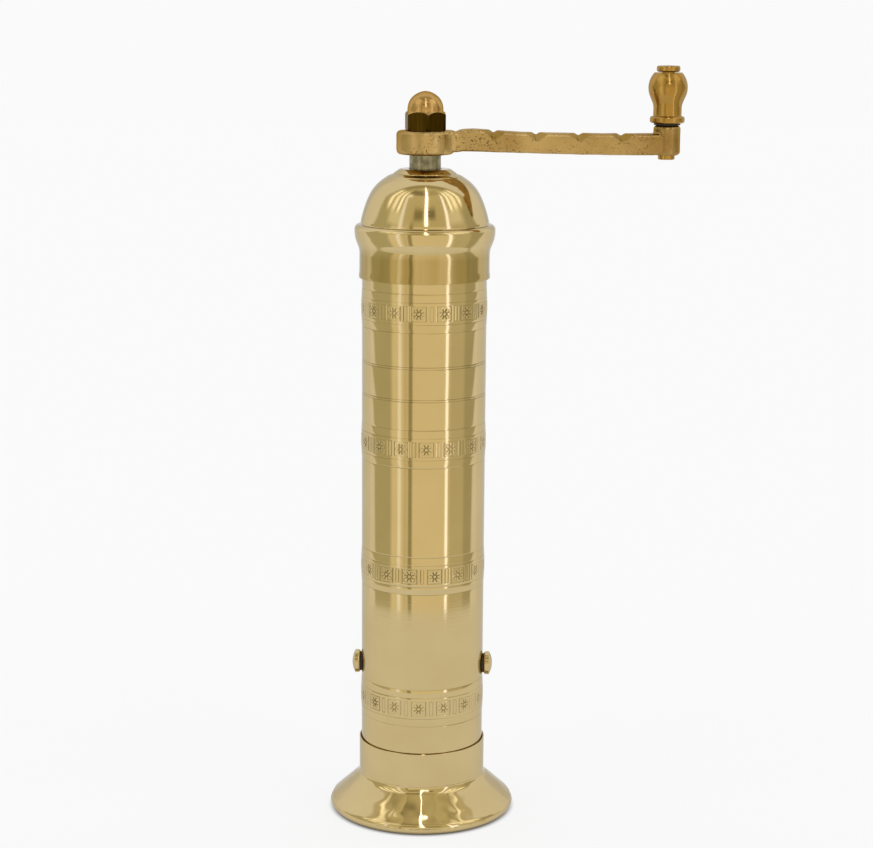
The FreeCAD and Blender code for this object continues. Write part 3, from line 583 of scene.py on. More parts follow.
def knob_outline():
    """The knob: a rounded foot, a neck that hollows out into the belly, and a flat top."""
    top = KNOB_BOTTOM + KNOB_LENGTH
    neck_top = KNOB_BOTTOM + KNOB_NECK_TOP
    belly_height = KNOB_BOTTOM + KNOB_BELLY_HEIGHT
    foot_top = KNOB_BOTTOM + KNOB_FOOT_HEIGHT
    foot_centre = KNOB_FOOT - KNOB_FOOT_ROUND
    hollow, belly, slope = ogee(KNOB_BELLY - KNOB_NECK, belly_height - neck_top,
                                KNOB_NECK_HOLLOW, KNOB_BELLY_ROUND)
    cosine, sine = cos_sin(slope)
    knob = Outline(KNOB_BORE, KNOB_BOTTOM)
    knob.line(foot_centre, KNOB_BOTTOM)
    knob.corner(foot_centre, KNOB_BOTTOM + KNOB_FOOT_ROUND, KNOB_FOOT_ROUND, -90, 0)
    knob.line(KNOB_FOOT, foot_top - KNOB_FOOT_ROUND)
    knob.corner(foot_centre, foot_top - KNOB_FOOT_ROUND, KNOB_FOOT_ROUND, 0, 90)
    knob.corner(KNOB_NECK + KNOB_FILLET, foot_top + KNOB_FILLET, KNOB_FILLET, 270, 180, 6)
    knob.line(KNOB_NECK, neck_top)
    knob.corner(KNOB_NECK + hollow, neck_top, hollow, 180, 180 - slope, 20)
    knob.line(KNOB_BELLY - belly + belly * cosine, belly_height - belly * sine)
    knob.corner(KNOB_BELLY - belly, belly_height, belly, -slope, 0, 20)
    knob.tangent_arc(KNOB_TOP, top, 24)
    knob.line(KNOB_BORE, top)
    return knob


def spindle_outline():
    """The knob's spindle: a peened stub under the boss and a round-edged head on the knob."""
    head_edge = HEAD_RADIUS - HEAD_ROUND
    stub_edge = STUB_RADIUS - STUB_ROUND
    spindle = Outline(AXIS, SPINDLE_BOTTOM)
    spindle.line(stub_edge, SPINDLE_BOTTOM)
    spindle.corner(stub_edge, SPINDLE_BOTTOM + STUB_ROUND, STUB_ROUND, -90, 0, 6)
    spindle.lines((STUB_RADIUS, STUB_TOP), (SPINDLE_RADIUS, STUB_TOP), (SPINDLE_RADIUS, HEAD_BOTTOM),
                  (head_edge, HEAD_BOTTOM))
    spindle.corner(head_edge, HEAD_BOTTOM + HEAD_ROUND, HEAD_ROUND, -90, 0, 8)
    spindle.corner(head_edge, HEAD_TOP - HEAD_CROWN - HEAD_ROUND, HEAD_ROUND, 0, 80, 8)
    spindle.line(AXIS, HEAD_TOP, 6)
    return spindle


def hexagon(angles):
    """Radius of the nut's hexagon in each direction."""
    first = radians(NUT_TURN - 90 + 30)
    return NUT_FLAT / np.cos((angles - first + pi / 6) % (pi / 3) - pi / 6)


def build_nut(material):
    """The acorn nut: a hexagon with its upper corners turned off, and a slightly pointed dome."""
    angles = np.linspace(0, 2 * pi, 360, endpoint=False)
    flats = hexagon(angles)
    rows = []

    def add_row(radius, height, dark):
        rows.append((np.broadcast_to(radius, angles.shape), height, np.broadcast_to(dark, angles.shape)))

    add_row(NUT_BORE, NUT_BOTTOM, 1.0)
    add_row(np.minimum(flats, NUT_FLAT + NUT_SEAT[0]), NUT_BOTTOM, 1.0)
    add_row(flats, NUT_BOTTOM + NUT_SEAT[1], 1.0)
    for share in np.linspace(0, 1, 16):
        limit = NUT_FLAT / cos(pi / 6) - NUT_CORNER_CUT * share
        height = NUT_HEX_TOP - NUT_CHAMFER * (1 - share)
        add_row(np.minimum(flats, limit), height, (flats <= limit).astype(float))
    add_row(NUT_DOME + NUT_STEP, NUT_HEX_TOP, 0.0)
    for share in np.linspace(0.02, 0.9995, 48):
        radius = NUT_DOME * (1 - share ** NUT_POINT[0]) ** NUT_POINT[1]
        add_row(radius, NUT_HEX_TOP + (NUT_TOP - NUT_HEX_TOP) * share, 0.0)
    add_row(AXIS, NUT_BORE_TOP, 0.0)
    add_row(NUT_BORE, NUT_BORE_TOP, 0.0)
    radii, heights, dark = (np.array([row[part] for row in rows]) for part in range(3))
    place(ring_mesh("nut_acorn", angles, radii, heights, dark), "nut", "cap_nut", material)


def build_side_washers(brass, shade_washer):
    """The rims under the two side screw heads, and thin dark washers between them and the tube, which paint
    the shade under the heads.
    """
    rim_start, rim_end = SCREW_RIM
    rim_edge = SCREW_HEAD - SCREW_RIM_INSET
    rim = Outline(SCREW_SHANK, rim_start)
    rim.line(rim_edge - SCREW_RIM_ROUND, rim_start)
    rim.corner(rim_edge - SCREW_RIM_ROUND, rim_start + SCREW_RIM_ROUND, SCREW_RIM_ROUND, -90, 0, 8)
    rim.lines((rim_edge, rim_end), (SCREW_SHANK, rim_end))
    washer = Outline(SCREW_SHANK, SCREW_SEAT)
    washer.lines((SCREW_WASHER, SCREW_SEAT), (SCREW_WASHER, rim_start), (SCREW_SHANK, rim_start))
    for name, half_turn in (("right", 0.0), ("left", 180.0)):
        turn = Matrix.Rotation(radians(SCREW_TURN + half_turn), 4, "Z")
        lay = Matrix.Translation((0.0, 0.0, SCREW_HEIGHT * MM)) @ turn @ Matrix.Rotation(pi / 2, 4, "Y")
        rim_piece = turned("screw_rim_" + name, rim, steps=72)
        washer_piece = turned("screw_washer_" + name, washer, steps=72)
        for piece in (rim_piece, washer_piece):
            piece.data.transform(lay)
        place(rim_piece, "mill_body", None, brass)
        place(washer_piece, "mill_body", "side_washers", shade_washer)


def build_spring(material):
    """The adjuster's spring, between the fixed strap above and the thumb wheel below, copied from the CAD in
    steel.
    """
    piece = link("spring_wire", nodes["adjuster_spring"].data.copy())
    piece.data.materials.clear()
    piece.data.materials.append(material)
    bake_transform(piece)
    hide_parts("adjuster_spring")


# Cast crank

NECK_PLACES = (6.8, 7.8, 8.8, 10.0, 11.5, 13.5, 16.0)
NECK_WIDTHS = (1.0, 0.88, 0.80, 0.82, 0.88, 0.95, 1.0)
WAIST = (5.6, 12.0)  # the span that is smoothed
WAIST_PASSES = 110
CREST_PLACES = (7.0, 8.3, 9.2, 10.2, 11.5, 14.0, 18.0, 21.0, 26.0, 33.0)
CREST_LIFTS = (0.0, -0.40, -0.30, 0.20, 0.50, 0.62, 0.5, 0.3, 0.15, 0.0)
BELLY_PLACES = (9.0, 11.0, 20.0, 30.0, 45.0, 60.0)
BELLY_LIFTS = (0.0, 0.35, 0.40, 0.35, 0.15, 0.0)
HUB_SKIRT = 0.42  # the hub's outer edge hangs this far below its seat
BOSS_REACH = 4.6
BOSS_RISE = 0.75  # the boss ends this far above the CAD boss
BOSS_FALL = 3.0  # and rises over this height
HUB_FALL = 2.0
LOW_EDGE = 203.6  # hub and boss change shape below this
HUB_INSIDE = 5.3
HUB_OUTSIDE = 8.2
HUB_EASE = 0.7
HUB_REACH = 9.2
ARM_ROOT = (6.0, 2.0)  # the hub's skirt fades from here over this length
ARM_START = 7.0
ARM_MIDDLE = 204.8
ARM_HIGH = 2.8  # lifts are full this far above it
ARM_LOW = 2.6  # and this far below it
WAIST_CORE = 1.6  # no smoothing nearer to the arm's plane
WAIST_HUB = 6.8  # nor nearer to the shaft
ARM_TOP = 208.5
ARM_SAG = (0.9, 51.1)  # the arm's top sags this far over this length
NOTCHES = [20.1 + 12.55 * notch for notch in range(4)]
NOTCH_REACH = (3.8, 3.4)  # half width and depth of a notch
NOTCH_FADE = (0.2, 0.6)  # depth where its shade starts, and its run
NOTCH_SHADE = (0.10, 0.25)  # of the face towards the knob: least, and patches
NOTCH_BACK = 0.15  # patches of the other face
UPWARDS = 0.35  # rise of the normal of a face that looks up
SKIN_VOXEL = 0.24
SKIN_SINK = 0.08  # the skin lies this far under the CAD surface
SKIN_WAVES = ((0.06, 0.22), (0.03, 0.55), (0.012, 2.6))  # depth, and waves per millimetre
HUB_OPEN = 6.6  # nearer to the shaft, the skin is as in the CAD
BOSS_OPEN = 3.2  # and round the spindle
PITS = (1.7, Vector((3.1, 7.7, 1.9)))  # waves per millimetre, and a shift of the noise
CLUSTERS = (0.16, Vector((9.3, 2.2, 5.1)))
PATCHES = (0.8, Vector((2.0, 6.0, 1.0)))
PIT_LEVEL = 0.70  # noise above this makes a pit
PIT_SLOPE = 0.6
PIT_DEEPEST = 0.10
PIT_DARK = 0.06  # a pit of this depth is quite dark
CROWD_LOW = (205.6, 3.0)  # pits crowd below this height, over this length
CROWD_PLACES = ((30.0, 24.0), (64.0, 3.5))  # arm and boss: place, reach
CROWD_SHARES = (0.8, 0.22, 0.16)  # of the boss, of both places, and of the clusters


def clamped(value):
    return max(0.0, min(1.0, value))


def eased_share(value):
    """A smooth step from 0 to 1."""
    value = clamped(value)
    return value * value * (3 - 2 * value)


def shifted_noise(point, rate, shift):
    return noise.noise(point * rate + shift)


def cast_relief(point):
    """Lift of the cast skin and depth of its pits at a point, in millimetres."""
    lift = sum(depth * noise.noise(point * rate) for depth, rate in SKIN_WAVES)
    low = clamped((CROWD_LOW[0] - point.z) / CROWD_LOW[1])
    middle, boss = (max(0.0, 1.0 - abs(point.x - spot) / reach) for spot, reach in CROWD_PLACES)
    boss_share, place_share, cluster_share = CROWD_SHARES
    cluster = max(0.0, shifted_noise(point, *CLUSTERS))
    crowd = max(low * middle, boss_share * boss) * place_share + cluster_share * cluster
    depth = max(0.0, shifted_noise(point, *PITS) - PIT_LEVEL + crowd)
    return lift, min(PIT_DEEPEST, PIT_SLOPE * depth)


def cast_form(point):
    """The waist behind the hub, the arm's swelling, and the lower edges of hub and boss."""
    from_shaft = hypot(point.x, point.y)
    outside = eased_share((from_shaft - HUB_OUTSIDE) / HUB_EASE)
    low_edge = (eased_share((LOW_EDGE - point.z) / HUB_FALL)
                * eased_share((from_shaft - HUB_INSIDE) / HUB_EASE))
    if point.x > ARM_START:
        high = eased_share((point.z - ARM_MIDDLE) / ARM_HIGH)
        low = eased_share((ARM_MIDDLE - point.z) / ARM_LOW)
        point.z += outside * (high * np.interp(point.x, CREST_PLACES, CREST_LIFTS)
                              + low * np.interp(point.x, BELLY_PLACES, BELLY_LIFTS))
        point.y *= np.interp(point.x, NECK_PLACES, NECK_WIDTHS)
    if from_shaft < HUB_REACH:
        point.z -= HUB_SKIRT * low_edge * (1 - outside * eased_share((point.x - ARM_ROOT[0]) / ARM_ROOT[1]))
    if hypot(point.x - KNOB_X, point.y) < BOSS_REACH:
        point.z += BOSS_RISE * eased_share((LOW_EDGE - point.z) / BOSS_FALL)
    return point


def smooth_waist(mesh):
    """Evens out the skin of the waist."""
    shape = bmesh.new()
    shape.from_mesh(mesh)
    waist = [vert for vert in shape.verts if WAIST[0] < vert.co.x / MM < WAIST[1]
             and abs(vert.co.y) > WAIST_CORE * MM and hypot(vert.co.x, vert.co.y) > WAIST_HUB * MM]
    for _ in range(WAIST_PASSES):
        bmesh.ops.smooth_vert(shape, verts=waist, factor=0.5, use_axis_x=True, use_axis_y=True)
    shape.to_mesh(mesh)
    shape.free()


def notch_shade(point, lean):
    """How dark the faces of the notches are, darkest on those that lean towards the knob."""
    nearest = min(abs(point.x - notch) for notch in NOTCHES)
    top = ARM_TOP - ARM_SAG[0] * (1 - (1 - point.x / ARM_SAG[1]) ** 2)
    drop = top - point.z
    if nearest > NOTCH_REACH[0] or drop > NOTCH_REACH[1]:
        return 0.0
    patchy = 0.5 + 0.5 * shifted_noise(point, *PATCHES)
    shade = NOTCH_SHADE[0] + NOTCH_SHADE[1] * patchy if lean > 0 else NOTCH_BACK * patchy
    return eased_share((drop - NOTCH_FADE[0]) / NOTCH_FADE[1]) * shade


def build_crank(material):
    """The crank's cast skin, made over the CAD arm."""
    source = link("crank_source", nodes["crank_arm"].data.copy())
    remesh = source.modifiers.new("skin", "REMESH")
    remesh.mode = "VOXEL"
    remesh.voxel_size = SKIN_VOXEL * MM
    bpy.context.view_layer.update()
    graph = bpy.context.evaluated_depsgraph_get()
    mesh = bpy.data.meshes.new_from_object(source.evaluated_get(graph))
    bpy.data.objects.remove(source)
    mesh.materials.clear()
    places, normals = np.zeros((2, len(mesh.vertices), 3))
    mesh.vertices.foreach_get("co", places.reshape(-1))
    mesh.vertices.foreach_get("normal", normals.reshape(-1))
    grooves, lift = np.zeros((2, len(mesh.vertices)))
    for index, spot in enumerate(places):
        point = Vector(spot) / MM
        skin, pit = cast_relief(point)
        if hypot(point.x, point.y) > HUB_OPEN and hypot(point.x - KNOB_X, point.y) > BOSS_OPEN:
            lift[index] = skin - SKIN_SINK - pit
            grooves[index] = min(1.0, pit / PIT_DARK)
    for index in np.nonzero(normals[:, 2] > UPWARDS)[0]:
        point = Vector(places[index]) / MM
        grooves[index] = max(grooves[index], notch_shade(point, normals[index, 0]))
    places += normals * (lift * MM)[:, None]
    places = np.array([cast_form(Vector(spot) / MM) for spot in places]) * MM
    mesh.vertices.foreach_set("co", places.reshape(-1))
    smooth_waist(mesh)
    finish_mesh(mesh, grooves, False)
    place(link("crank_casting", mesh), "crank", "crank_arm", material)


# Materials

EDGE_TINT = (0.73, 0.74, 0.75, 1.0)  # metals seen along their surface
CAST_EDGE = (0.66, 0.53, 0.32, 1.0)  # the cast skin stays warm there
NUT_EDGE = (0.55, 0.45, 0.30, 1.0)
NUT_DOME_BRASS = ((0.55, 0.345, 0.130), (0.46, 0.275, 0.092))
NUT_DARK_BRASS = ((0.030, 0.015, 0.001), (0.062, 0.034, 0.003))
# colours of the dark washers, painted shade under the side screw heads
SHADE_WASHER_COLOURS = ((0.012, 0.009, 0.006), (0.035, 0.026, 0.018))
NOISE_SPAN = (0.3, 0.7)  # most of a noise lies between these values
TONE_SPAN = (0.35, 0.68)
TONE_SCALE = 70.0
SKIRT_PAINTED_SHADE = (171.5, 175.0, (0.43, 0.315, 0.118))  # painted shade low on the dome's skirt, below the bead, fading out between these heights
MARK_SCALE = 900.0
MARK_DEPTH = 0.0012
DIRT_AND_SHADE_SPAN = (0.18, 0.85)  # from clean to quite dark cuts, whose mark holds dirt and painted shade
DIRT_AND_SHADE_MOST = 0.90


def add(tree, kind, **settings):
    node = tree.nodes.new(kind)
    for key, value in settings.items():
        setattr(node, key, value)
    return node


def join(source, socket):
    """Links two sockets of a tree."""
    socket.id_data.links.new(source, socket)


def fill(node, **values):
    """Sets inputs of a node, by names with _ for a space."""
    for key, value in values.items():
        node.inputs[key.replace("_", " ")].default_value = value


def new_material(name):
    material = bpy.data.materials.new(name)
    material.use_nodes = True
    tree = material.node_tree
    return material, tree, tree.nodes["Principled BSDF"]


def object_noise(tree, scale, detail=3.0, stretch=(1.0, 1.0, 1.0)):
    """Noise on the object's own coordinates, stretched along its axes."""
    coordinates = add(tree, "ShaderNodeTexCoord")
    mapping = add(tree, "ShaderNodeMapping")
    fill(mapping, Scale=stretch)
    texture = add(tree, "ShaderNodeTexNoise")
    fill(texture, Scale=scale, Detail=detail)
    join(coordinates.outputs["Object"], mapping.inputs["Vector"])
    join(mapping.outputs["Vector"], texture.inputs["Vector"])
    return texture.outputs["Fac"]


def spread(source, low, high, first, last, kind="LINEAR"):
    """Maps a span of values onto another."""
    node = add(source.id_data, "ShaderNodeMapRange", interpolation_type=kind)
    fill(node, From_Min=low, From_Max=high, To_Min=first, To_Max=last)
    join(source, node.inputs["Value"])
    return node.outputs["Result"]


def eased(*span):
    """The same along a smooth step."""
    return spread(*span, kind="SMOOTHSTEP")


def mixed(factor, first, last):
    """Two colours, or a colour socket and a colour, mixed by a factor."""
    node = add(factor.id_data, "ShaderNodeMix", data_type="RGBA")
    join(factor, node.inputs["Factor"])
    for socket, value in ((node.inputs[6], first), (node.inputs[7], last)):
        if isinstance(value, tuple):
            socket.default_value = value + (1.0,)
        else:
            join(value, socket)
    return node.outputs[2]


def bumped(layers, shader):
    """Stacks bump layers of a height source and a depth in millimetres."""
    normal = None
    for height, depth in layers:
        node = add(shader.id_data, "ShaderNodeBump")
        fill(node, Strength=1.0, Distance=depth * MM)
        join(height, node.inputs["Height"])
        if normal is not None:
            join(normal, node.inputs["Normal"])
        normal = node.outputs["Normal"]
    join(normal, shader.inputs["Normal"])


def metal(name, light, deep, groove, rough, layers, stretch, tone_scale=TONE_SCALE,
          skirt=None, cast_edge=None):
    """A metal with slow colour change, working marks, and dark cuts that hold dirt and painted shade. A
    skirt brings painted shade low down. A cast edge also brings speckles.
    """
    material, tree, shader = new_material(name)
    fill(shader, Metallic=1.0, Specular_Tint=cast_edge or EDGE_TINT)
    tone = spread(object_noise(tree, tone_scale, 4.0), *TONE_SPAN, 0.0, 1.0)
    marks = object_noise(tree, MARK_SCALE, 2.0, stretch)
    colour = mixed(tone, light, deep)
    # painted shade low on the dome's skirt
    if skirt:
        colour = mixed(skirt_share(tree, *skirt[:2]), colour, skirt[2])
    if cast_edge:
        colour = mixed(speckles(tree), colour, groove)
    # the groove mark: dirt in cuts and pits, and painted shade in the collar's mouth, at the dome skirt's
    # edge and on the crank's notch faces
    cut = add(tree, "ShaderNodeAttribute", attribute_name="groove")
    dirt_and_shade = spread(cut.outputs["Fac"], *DIRT_AND_SHADE_SPAN, 0.0, DIRT_AND_SHADE_MOST)
    colour = mixed(dirt_and_shade, colour, groove)
    join(colour, shader.inputs["Base Color"])
    join(spread(marks, *NOISE_SPAN, *rough), shader.inputs["Roughness"])
    heights = [(object_noise(tree, scale, 2.0), depth) for scale, depth in layers]
    bumped(heights + [(marks, MARK_DEPTH)], shader)
    return material


def speckles(tree):
    """Small dark specks of old dirt that crowd together in places."""
    crowd = spread(object_noise(tree, 120.0, 2.0), 0.44, 0.58, 0.0, 1.0)
    specks = spread(object_noise(tree, 2100.0, 5.0, (0.7, 1.0, 1.0)), 0.55, 0.66, 0.0, 1.0)
    return arithmetic("MULTIPLY", arithmetic("MULTIPLY", crowd, specks), 0.85)


def skirt_share(tree, start, end):
    """Share of painted shade on a skirt: 1 below a height and 0 above another, broken up by upright streaks.
    """
    coordinates = add(tree, "ShaderNodeTexCoord")
    split = add(tree, "ShaderNodeSeparateXYZ")
    join(coordinates.outputs["Object"], split.inputs["Vector"])
    below = spread(split.outputs["Z"], start * MM, end * MM, 1.0, 0.0)
    streaks = spread(object_noise(tree, 260.0, 3.0, (1.0, 1.0, 0.06)), 0.30, 0.62, 0.45, 1.0)
    return arithmetic("MULTIPLY", below, streaks)


def shade_washer_material():
    """Dark, dull washers; under the side screw heads they are painted shade."""
    material, tree, shader = new_material("dark_fibre")
    grain = object_noise(tree, 2500.0, 3.0)
    colour = mixed(spread(grain, *NOISE_SPAN, 0.0, 1.0), *SHADE_WASHER_COLOURS)
    join(colour, shader.inputs["Base Color"])
    join(spread(grain, *NOISE_SPAN, 0.55, 0.8), shader.inputs["Roughness"])
    bumped([(grain, 0.01)], shader)
    return material


def nut_metal():
    """The cap nut: a warm satin dome over a hexagon that has gone dark."""
    material, tree, shader = new_material("nut_metal")
    fill(shader, Metallic=1.0, Specular_Tint=NUT_EDGE)
    cut = add(tree, "ShaderNodeAttribute", attribute_name="groove")
    dark = spread(cut.outputs["Fac"], 0.4, 0.6, 0.0, 1.0)
    marks = object_noise(tree, 700.0, 3.0, (3.0, 3.0, 0.2))
    tone = spread(marks, *NOISE_SPAN, 0.0, 1.0)
    colour = mixed(dark, mixed(tone, *NUT_DOME_BRASS), mixed(tone, *NUT_DARK_BRASS))
    join(colour, shader.inputs["Base Color"])
    join(spread(dark, 0.0, 1.0, 0.18, 0.12), shader.inputs["Roughness"])
    bumped([(marks, 0.002)], shader)
    return material


def make_materials():
    """Every material by its name. A metal's look is what metal() takes after the name."""
    across, along, every = (0.02, 0.02, 3.0), (3.0, 3.0, 0.03), (1.0, 1.0, 1.0)  # directions of the marks
    groove = (0.10, 0.065, 0.018)
    polished = ((0.605, 0.474, 0.241), (0.576, 0.443, 0.217), groove)
    looks = {
        "polished_brass": (*polished, (0.05, 0.11), [(60.0, 0.012), (240.0, 0.002)], across),
        "spun_brass": (*polished, (0.035, 0.07), [(150.0, 0.006)], across),
        "dome_brass": (*polished, (0.06, 0.12), [(150.0, 0.008)], across, TONE_SCALE, SKIRT_PAINTED_SHADE),
        "cast_brass": ((0.51, 0.350, 0.144), (0.33, 0.200, 0.062), (0.075, 0.044, 0.013), (0.26, 0.38),
                       [(320.0, 0.012), (1400.0, 0.005)], every, 65.0, None, CAST_EDGE),
        "turned_brass": ((0.45, 0.270, 0.070), (0.37, 0.208, 0.046), groove, (0.15, 0.23),
                         [(150.0, 0.004)], across, 120.0),
        "steel": ((0.34, 0.305, 0.20), (0.15, 0.13, 0.08), (0.05, 0.05, 0.04), (0.16, 0.34),
                  [(300.0, 0.01)], along, 420.0),
        "burr_steel": ((0.20, 0.20, 0.21), (0.11, 0.11, 0.115), (0.03, 0.03, 0.03), (0.30, 0.50),
                       [(500.0, 0.01)], every, 200.0),
    }
    metals = {name: metal(name, *look) for name, look in looks.items()}
    # dark_fibre is the dark washers' material, painted shade under the side screw heads
    return {**metals, "dark_fibre": shade_washer_material(), "nut": nut_metal()}


def dress_nodes(materials):
    """A procedural material for every CAD node that stays, by its slot in the record."""
    slots = {entry["node"]: entry["material_slot"] for entry in frame["record"]["subparts"]}
    for name, node in nodes.items():
        node.data.materials.clear()
        node.data.materials.append(materials[slots[name]])


# Stage

STRIPS = (  # azimuth, half width, lowest and highest elevation, softness, all in degrees, and colour
    (-89, 27, -90, 26, 4, (0.62, 0.60, 0.43)),
    (64, 16, -90, 26, 5, (0.73, 0.69, 0.51)),
    (98, 19, -90, 26, 5, (0.55, 0.53, 0.39)),
    (-60, 13, 16, 34, 6, (0.98, 0.94, 0.76)),
    (60, 13, 16, 34, 6, (1.00, 0.96, 0.80)),
    (-72, 23, 30, 60, 3, (0.74, 0.68, 0.49)),
    (72, 23, 30, 60, 3, (0.76, 0.70, 0.51)),
    (-57, 2.6, 30, 61, 1.6, (2.00, 1.98, 1.90)),
    (-70, 4.4, 30, 60, 2, (1.55, 1.52, 1.40)),
    (-84, 3.2, 30, 60, 2, (1.80, 1.78, 1.65)),
    (57, 2.8, 30, 61, 1.6, (2.00, 1.98, 1.90)),
    (69, 4.8, 30, 60, 2, (1.65, 1.62, 1.50)),
    (83, 3.4, 30, 60, 2, (1.80, 1.78, 1.65)),
    (-13, 10, 24, 37, 4, (0.36, 0.32, 0.18)),
    (13, 9, 25, 37, 4, (0.31, 0.28, 0.16)),
    (-24, 24, 57, 72, 3, (0.35, 0.31, 0.19)),
    (24, 20, 57, 72, 3, (0.60, 0.54, 0.35)),
    (-33.5, 4, -60, 20, 2.5, (0.85, 0.78, 0.59)),
    (-24.5, 3.6, -60, 20, 1.6, (0.46, 0.42, 0.25)),
    (-45.5, 3.2, -60, 52, 1.6, (1.28, 1.29, 1.42)),
    (-41, 7, 50, 56, 4, (1.50, 1.52, 1.60)),
    (43.5, 2.6, -60, 54, 1.3, (1.90, 1.96, 2.40)),
    (3.5, 2.8, 16, 86, 1.8, (4.2, 4.4, 5.2)),
)
BACK_CARDS = ((160, 16, 6), (-160, 16, 6))  # grey cards behind the mill: azimuth, half width, softness
CARD_HEAD = (30.0, 55.0)  # elevations between which the cards fade out
BACK_GREY = (0.86, 0.86, 0.86)
BACK_SOFT = 0.05  # softness of the edge between backdrop and room
STRIP_FOOT = 4.0  # softness of a strip's lower end, in degrees
STRIP_HEAD = 6.0  # and of its upper end
FRONT_LOW = (1.01, 0.93, 0.725)
FRONT_HIGH = (0.76, 0.70, 0.47)
FRONT_RISE = (0.0, 14.0)  # elevations between which the one becomes the other
FRONT_REACH = ((0.0, 1.0, 0.26, 0.0), (0.0, 0.4, 0.42, 0.06))  # spans of tilt, and the room's reach
BORDER = (0.47, 0.43, 0.27)  # the room just in front of the white backdrop
BORDER_DEPTH = (0.10, 0.30)
BORDER_RISE = (20.0, 34.0)  # elevations between which it sets in
WHITE = 0.956


def arithmetic(operation, first, second=None):
    node = add(first.id_data, "ShaderNodeMath", operation=operation)
    for socket, value in zip(node.inputs, (first, second)):
        if isinstance(value, (int, float)):
            socket.default_value = value
        elif value is not None:
            join(value, socket)
    return node.outputs["Value"]


def beside(azimuth, middle, half, soft):
    """1 within half a width of an azimuth, falling to 0 over a soft edge."""
    off = arithmetic("ABSOLUTE", arithmetic("SUBTRACT", azimuth, middle))
    return eased(off, half - soft, half + soft, 1.0, 0.0)


def room_colour(tree):
    """White behind the mill, and in front of it a dimmer room with tall soft boxes and flags."""
    coordinates = add(tree, "ShaderNodeTexCoord")
    split = add(tree, "ShaderNodeSeparateXYZ")
    join(coordinates.outputs["Generated"], split.inputs["Vector"])
    x, y, z = (split.outputs[axis] for axis in "XYZ")
    towards = arithmetic("MULTIPLY", y, -1.0)
    azimuth = arithmetic("DEGREES", arithmetic("ARCTAN2", x, towards))
    elevation = arithmetic("DEGREES", arithmetic("ARCSINE", z))
    colour = mixed(eased(elevation, *FRONT_RISE, 0.0, 1.0), FRONT_LOW, FRONT_HIGH)
    tilt = arithmetic("ABSOLUTE", z)
    level = arithmetic("MAXIMUM", *(spread(tilt, *span) for span in FRONT_REACH))
    front = arithmetic("ADD", towards, level)
    border = arithmetic("MULTIPLY", eased(front, *BORDER_DEPTH, 1.0, 0.0),
                        eased(elevation, *BORDER_RISE, 0.0, 1.0))
    colour = mixed(border, colour, BORDER)
    for middle, half, low, high, soft, tone in STRIPS:
        above = eased(elevation, low - STRIP_FOOT, low + STRIP_FOOT, 0.0, 1.0)
        below = eased(elevation, high - STRIP_HEAD, high + STRIP_HEAD, 1.0, 0.0)
        inside = arithmetic("MULTIPLY", beside(azimuth, middle, half, soft), above)
        colour = mixed(arithmetic("MULTIPLY", inside, below), colour, tone)
    back = (1.0, 1.0, 1.0)
    for card in BACK_CARDS:
        below = eased(elevation, *CARD_HEAD, 1.0, 0.0)
        inside = arithmetic("MULTIPLY", beside(azimuth, *card), below)
        back = mixed(inside, back, BACK_GREY)
    return mixed(eased(front, -BACK_SOFT, BACK_SOFT, 0.0, 1.0), back, colour)


def light_stage():
    """The room as the world, which the camera sees as plain white."""
    world = bpy.data.worlds.new("room")
    bpy.context.scene.world = world
    world.use_nodes = True
    tree = world.node_tree
    path = add(tree, "ShaderNodeLightPath")
    colour = mixed(path.outputs["Is Camera Ray"], room_colour(tree), (WHITE, WHITE, WHITE))
    join(colour, tree.nodes["Background"].inputs["Color"])


TABLE_RADIUS = 0.25
TABLE_REACH = 4.0
TABLE_TURN = 116  # degrees from the front to the straight sides
TABLE_COLOUR = (0.95, 0.95, 0.95, 1.0)
SHADOW_SHARE = 0.2  # share of the table that takes shadows, for the camera
MIRROR_SHARE = 0.35  # the same for the metal
TABLE_GLOW = (0.973, 0.978, 0.999)  # brings the unshaded table to the backdrop's white
PAINTED_CONTACT_SHADOW = (0.0262, 0.0292)  # painted contact shadow: the table darkens under the foot between these radii
CONTACT_SHADOW_COLOUR = (0.03, 0.03, 0.03)


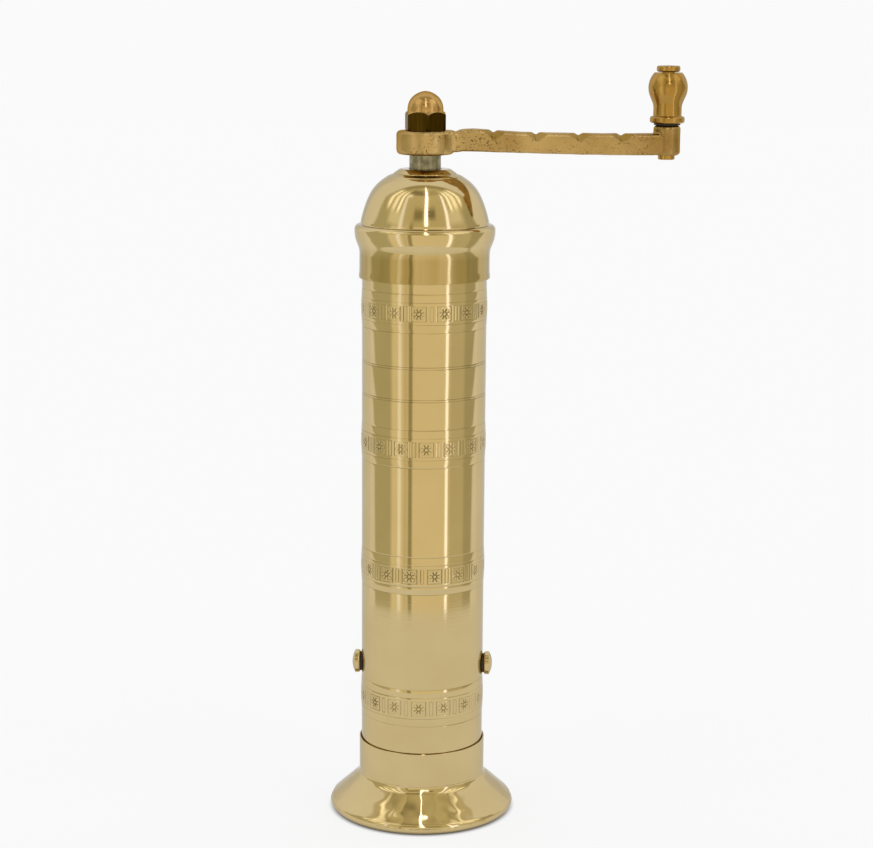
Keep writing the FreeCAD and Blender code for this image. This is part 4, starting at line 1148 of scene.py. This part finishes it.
def add_floor():
    """A white table with a round front edge, which runs on far behind the mill."""
    turns = [radians(angle) for angle in range(-TABLE_TURN, TABLE_TURN + 1, 4)]
    rim = [(TABLE_RADIUS * sin(turn), -TABLE_RADIUS * cos(turn), 0.0) for turn in turns]
    side, back = TABLE_REACH * sin(turns[-1]), -TABLE_REACH * cos(turns[-1])
    far = [(side, back, 0.0), (side, TABLE_REACH, 0.0), (-side, TABLE_REACH, 0.0), (-side, back, 0.0)]
    mesh = bpy.data.meshes.new("table")
    mesh.from_pydata(rim + far, [], [tuple(range(len(rim) + len(far)))])
    floor = link("table", mesh)
    material, tree, shader = new_material("table_white")
    fill(shader, Base_Color=TABLE_COLOUR, Roughness=0.9, Specular_IOR_Level=0.0)
    glow = add(tree, "ShaderNodeEmission")
    coordinates = add(tree, "ShaderNodeTexCoord")
    distance = add(tree, "ShaderNodeVectorMath", operation="LENGTH")
    join(coordinates.outputs["Object"], distance.inputs[0])
    # painted contact shadow under the foot's lip, in the table's glow
    clear = eased(distance.outputs["Value"], *PAINTED_CONTACT_SHADOW, 0.0, 1.0)
    join(mixed(clear, CONTACT_SHADOW_COLOUR, TABLE_GLOW), glow.inputs["Color"])
    path = add(tree, "ShaderNodeLightPath")
    blend = add(tree, "ShaderNodeMixShader")
    share = spread(path.outputs["Is Camera Ray"], 0.0, 1.0, MIRROR_SHARE, SHADOW_SHARE)
    join(share, blend.inputs["Fac"])
    join(glow.outputs["Emission"], blend.inputs[1])
    join(shader.outputs["BSDF"], blend.inputs[2])
    join(blend.outputs["Shader"], tree.nodes["Material Output"].inputs["Surface"])
    floor.data.materials.append(material)


def add_camera():
    data = bpy.data.cameras.new("camera")
    data.sensor_fit = "HORIZONTAL"
    data.sensor_width = SENSOR
    data.lens = LENS
    camera = link("camera", data)
    yaw, pitch, roll = (radians(angle) for angle in (CAMERA_YAW, CAMERA_PITCH, CAMERA_ROLL))
    forward = Vector((sin(yaw) * cos(pitch), cos(yaw) * cos(pitch), -sin(pitch)))
    level = Vector((cos(yaw), -sin(yaw), 0.0))
    upright = level.cross(forward)
    right = level * cos(roll) + upright * sin(roll)
    up = upright * cos(roll) - level * sin(roll)
    turn = Matrix((right, up, -forward)).transposed()
    camera.matrix_world = Matrix.Translation(Vector(CAMERA_PLACE) * MM) @ turn.to_4x4()
    bpy.context.scene.camera = camera


def main():
    bpy.context.scene.view_settings.view_transform = "Standard"
    materials = make_materials()
    dress_nodes(materials)
    build_tube(materials["polished_brass"])
    foot = turned("foot_spun", foot_outline(), steps=360, dirt_and_shade=FOOT_PAINTED_SHADE, wave=FOOT_WAVES)
    place(foot, "mill_body", "foot_skirt", materials["spun_brass"])
    dome = turned("dome_spun", dome_outline(), steps=320, dirt_and_shade=DOME_PAINTED_SHADE, wave=DOME_WAVES)
    place(dome, "dome", "dome_cap", materials["dome_brass"])
    bush = turned("bush_turned", bush_outline())
    place(bush, "dome", "dome_bush", materials["spun_brass"])
    knob = turned("knob_turned", knob_outline(), (KNOB_X, 0.0), steps=128)
    place(knob, "knob", "crank_knob", materials["turned_brass"])
    spindle = turned("spindle_turned", spindle_outline(), (KNOB_X, 0.0), steps=96)
    place(spindle, "crank", "knob_spindle", materials["turned_brass"])
    build_nut(materials["nut"])
    build_side_washers(materials["polished_brass"], materials["dark_fibre"])
    build_crank(materials["cast_brass"])
    build_spring(materials["steel"])
    light_stage()
    add_floor()
    add_camera()


main()
